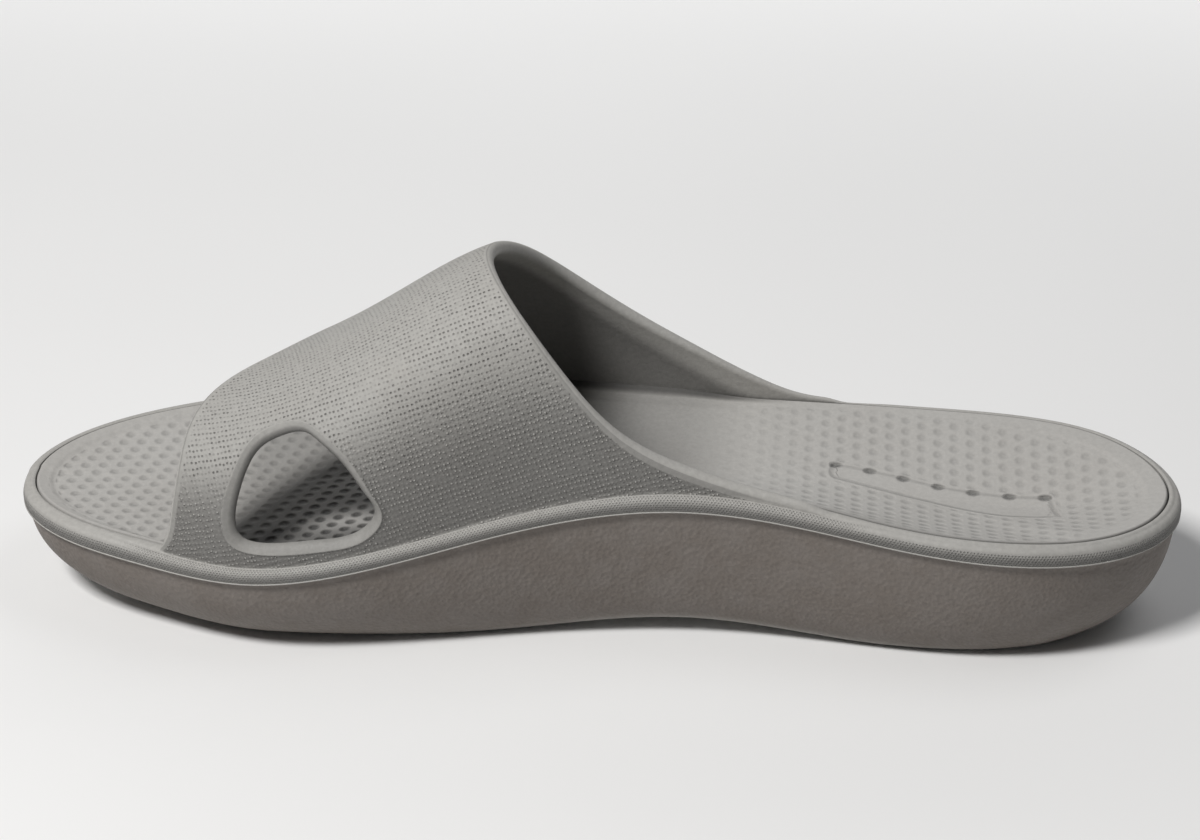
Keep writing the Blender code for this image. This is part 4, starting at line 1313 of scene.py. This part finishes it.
def footbed_material():
    g = Graph("footbed_foam_finish")
    along_mm, across_mm, room = g.mark("weave")
    strength, frame_mm, frame_side = g.mark("bead")
    pip_mm, bed_shade, crevice = g.mark("zone")
    gap, _, _ = g.dots(across_mm, along_mm, DIMPLE_PITCH, DIMPLE_ROW, stretch=DIMPLE_STRETCH)
    field = g.times(g.range(room, 0.0, 1.2), strength, g.range(frame_mm, 0.9, 2.0))
    hollow = g.times(g.range(gap, 0.10, 0.46, 1.0, 0.0), field)
    pip = g.range(pip_mm, 0.3, 1.7, 1.0, 0.0)
    line = g.range(frame_mm, 0.10, 0.95, 1.0, 0.0)
    inside = g.range(frame_side, -0.9, -0.2, 1.0, 0.0)
    grain = g.add(g.noise(1300.0, 3.0, 0.6), g.times(g.cells(520.0), -0.6))
    normal = g.bump(g.noise(30.0, 2.0), 0.0004, strength=0.4)
    normal = g.bump(grain, 0.0002, normal, 0.22)
    normal = g.bump(g.math("MAXIMUM", hollow, pip), -DIMPLE_DEPTH, normal)
    normal = g.bump(g.add(g.times(inside, 0.6), line), -0.00028, normal)
    mottle = g.noise(24.0, 4.0, 0.6)
    colour = g.mix(g.range(mottle, 0.3, 0.7), BED_COLOUR, BED_WARM)
    colour = g.shade(colour, g.range(g.noise(900.0, 2.0, 0.7), 0.25, 0.75, 0.95, 1.05))
    # Painted shade: the dimples darker, most in the strap's painted shadow, and the frame's groove and
    # pips, the footbed beside the far wall and under the strap, and the gap at the parting line.
    dimple_shade = g.times(hollow, g.math("MULTIPLY_ADD", strength, 0.45, 0.20))
    dark = ((dimple_shade, 1.0), (line, FRAME_LINE_SHADE), (pip, PIP_SHADE), (bed_shade, BED_SHADE_AMOUNT), (crevice, CREVICE_SHADE))
    colour = g.darken(colour, *dark)
    rough = g.range(mottle, 0.3, 0.7, 0.60, 0.72)
    return g.finish(Base_Color=colour, Normal=normal, Roughness=rough, Specular_IOR_Level=0.30)


def make_piece(name, shell, material, node):
    points = np.concatenate(shell.points)
    points[:, :2] -= MIDDLE
    faces = np.concatenate(shell.faces)
    same = (faces == np.roll(faces, 1, axis=1)).any(axis=1)
    pairs = zip(faces.tolist(), same)
    polygons = [tuple(dict.fromkeys(face)) if twin else tuple(face) for face, twin in pairs]
    mesh = bpy.data.meshes.new(name)
    mesh.from_pydata(points.tolist(), [], polygons)
    for mark_name, values in shell.marks.items():
        layer = mesh.attributes.new(mark_name, "FLOAT_VECTOR", "POINT")
        layer.data.foreach_set("vector", np.concatenate(values).astype(np.float32).ravel())
    mesh.update()
    work = bmesh.new()
    work.from_mesh(mesh)
    bmesh.ops.recalc_face_normals(work, faces=work.faces[:])
    work.to_mesh(mesh)
    work.free()
    mesh.shade_smooth()
    mesh.materials.append(material)
    item = bpy.data.objects.new(name, mesh)
    bpy.context.scene.collection.objects.link(item)
    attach(item, "root")
    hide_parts(node)


def area_light(name, place_at, aim, size, power, colour):
    data = bpy.data.lights.new(name, "AREA")
    data.shape = "RECTANGLE"
    data.size, data.size_y = size
    data.energy = power
    data.color = colour
    lamp = bpy.data.objects.new(name, data)
    lamp.location = place_at
    lamp.rotation_euler = (Vector(aim) - Vector(place_at)).to_track_quat("-Z", "Y").to_euler()
    bpy.context.scene.collection.objects.link(lamp)


def make_floor():
    mesh = bpy.data.meshes.new("floor")
    corners = [(x * FLOOR_HALF, y * FLOOR_HALF, 0.0) for x, y in ((-1, -1), (1, -1), (1, 1), (-1, 1))]
    mesh.from_pydata(corners, [], [(0, 1, 2, 3)])
    g = Graph("floor_paper")
    tone = g.range(g.noise(3.0, 2.0), 0.2, 0.8, 0.97, 1.0)
    paper = g.finish(Base_Color=g.shade(FLOOR_COLOUR, tone), Roughness=0.9, Specular_IOR_Level=0.1)
    mesh.materials.append(paper)
    floor = bpy.data.objects.new("floor", mesh)
    floor.location.z = -FLOOR_GAP
    bpy.context.scene.collection.objects.link(floor)


def make_camera():
    azimuth, elevation = (math.radians(value) for value in CAMERA_TURN)
    level = math.cos(elevation)
    back = Vector((math.sin(azimuth) * level, -math.cos(azimuth) * level, math.sin(elevation)))
    data = bpy.data.cameras.new("camera")
    data.sensor_width = 36.0
    data.lens = CAMERA_LENS
    data.shift_x, data.shift_y = CAMERA_SHIFT
    data.clip_start = 0.01
    camera = bpy.data.objects.new("camera", data)
    camera.location = Vector(CAMERA_AIM) - Vector((*MIDDLE, 0.0)) + back * CAMERA_DISTANCE
    camera.rotation_euler = (-back).to_track_quat("-Z", "Y").to_euler()
    bpy.context.scene.collection.objects.link(camera)
    bpy.context.scene.camera = camera


make_piece("body_visual", build_body(), body_material(), "slide_body")
make_piece("footbed_visual", build_footbed(), footbed_material(), "footbed")
make_floor()
make_camera()

for light in LIGHTS:
    area_light(*light)

world = bpy.data.worlds.new("studio")
world.use_nodes = True
world.node_tree.nodes["Background"].inputs["Color"].default_value = (*WORLD_COLOUR, 1.0)
world.node_tree.nodes["Background"].inputs["Strength"].default_value = WORLD_STRENGTH
bpy.context.scene.world = world
bpy.context.scene.view_settings.view_transform = "Standard"
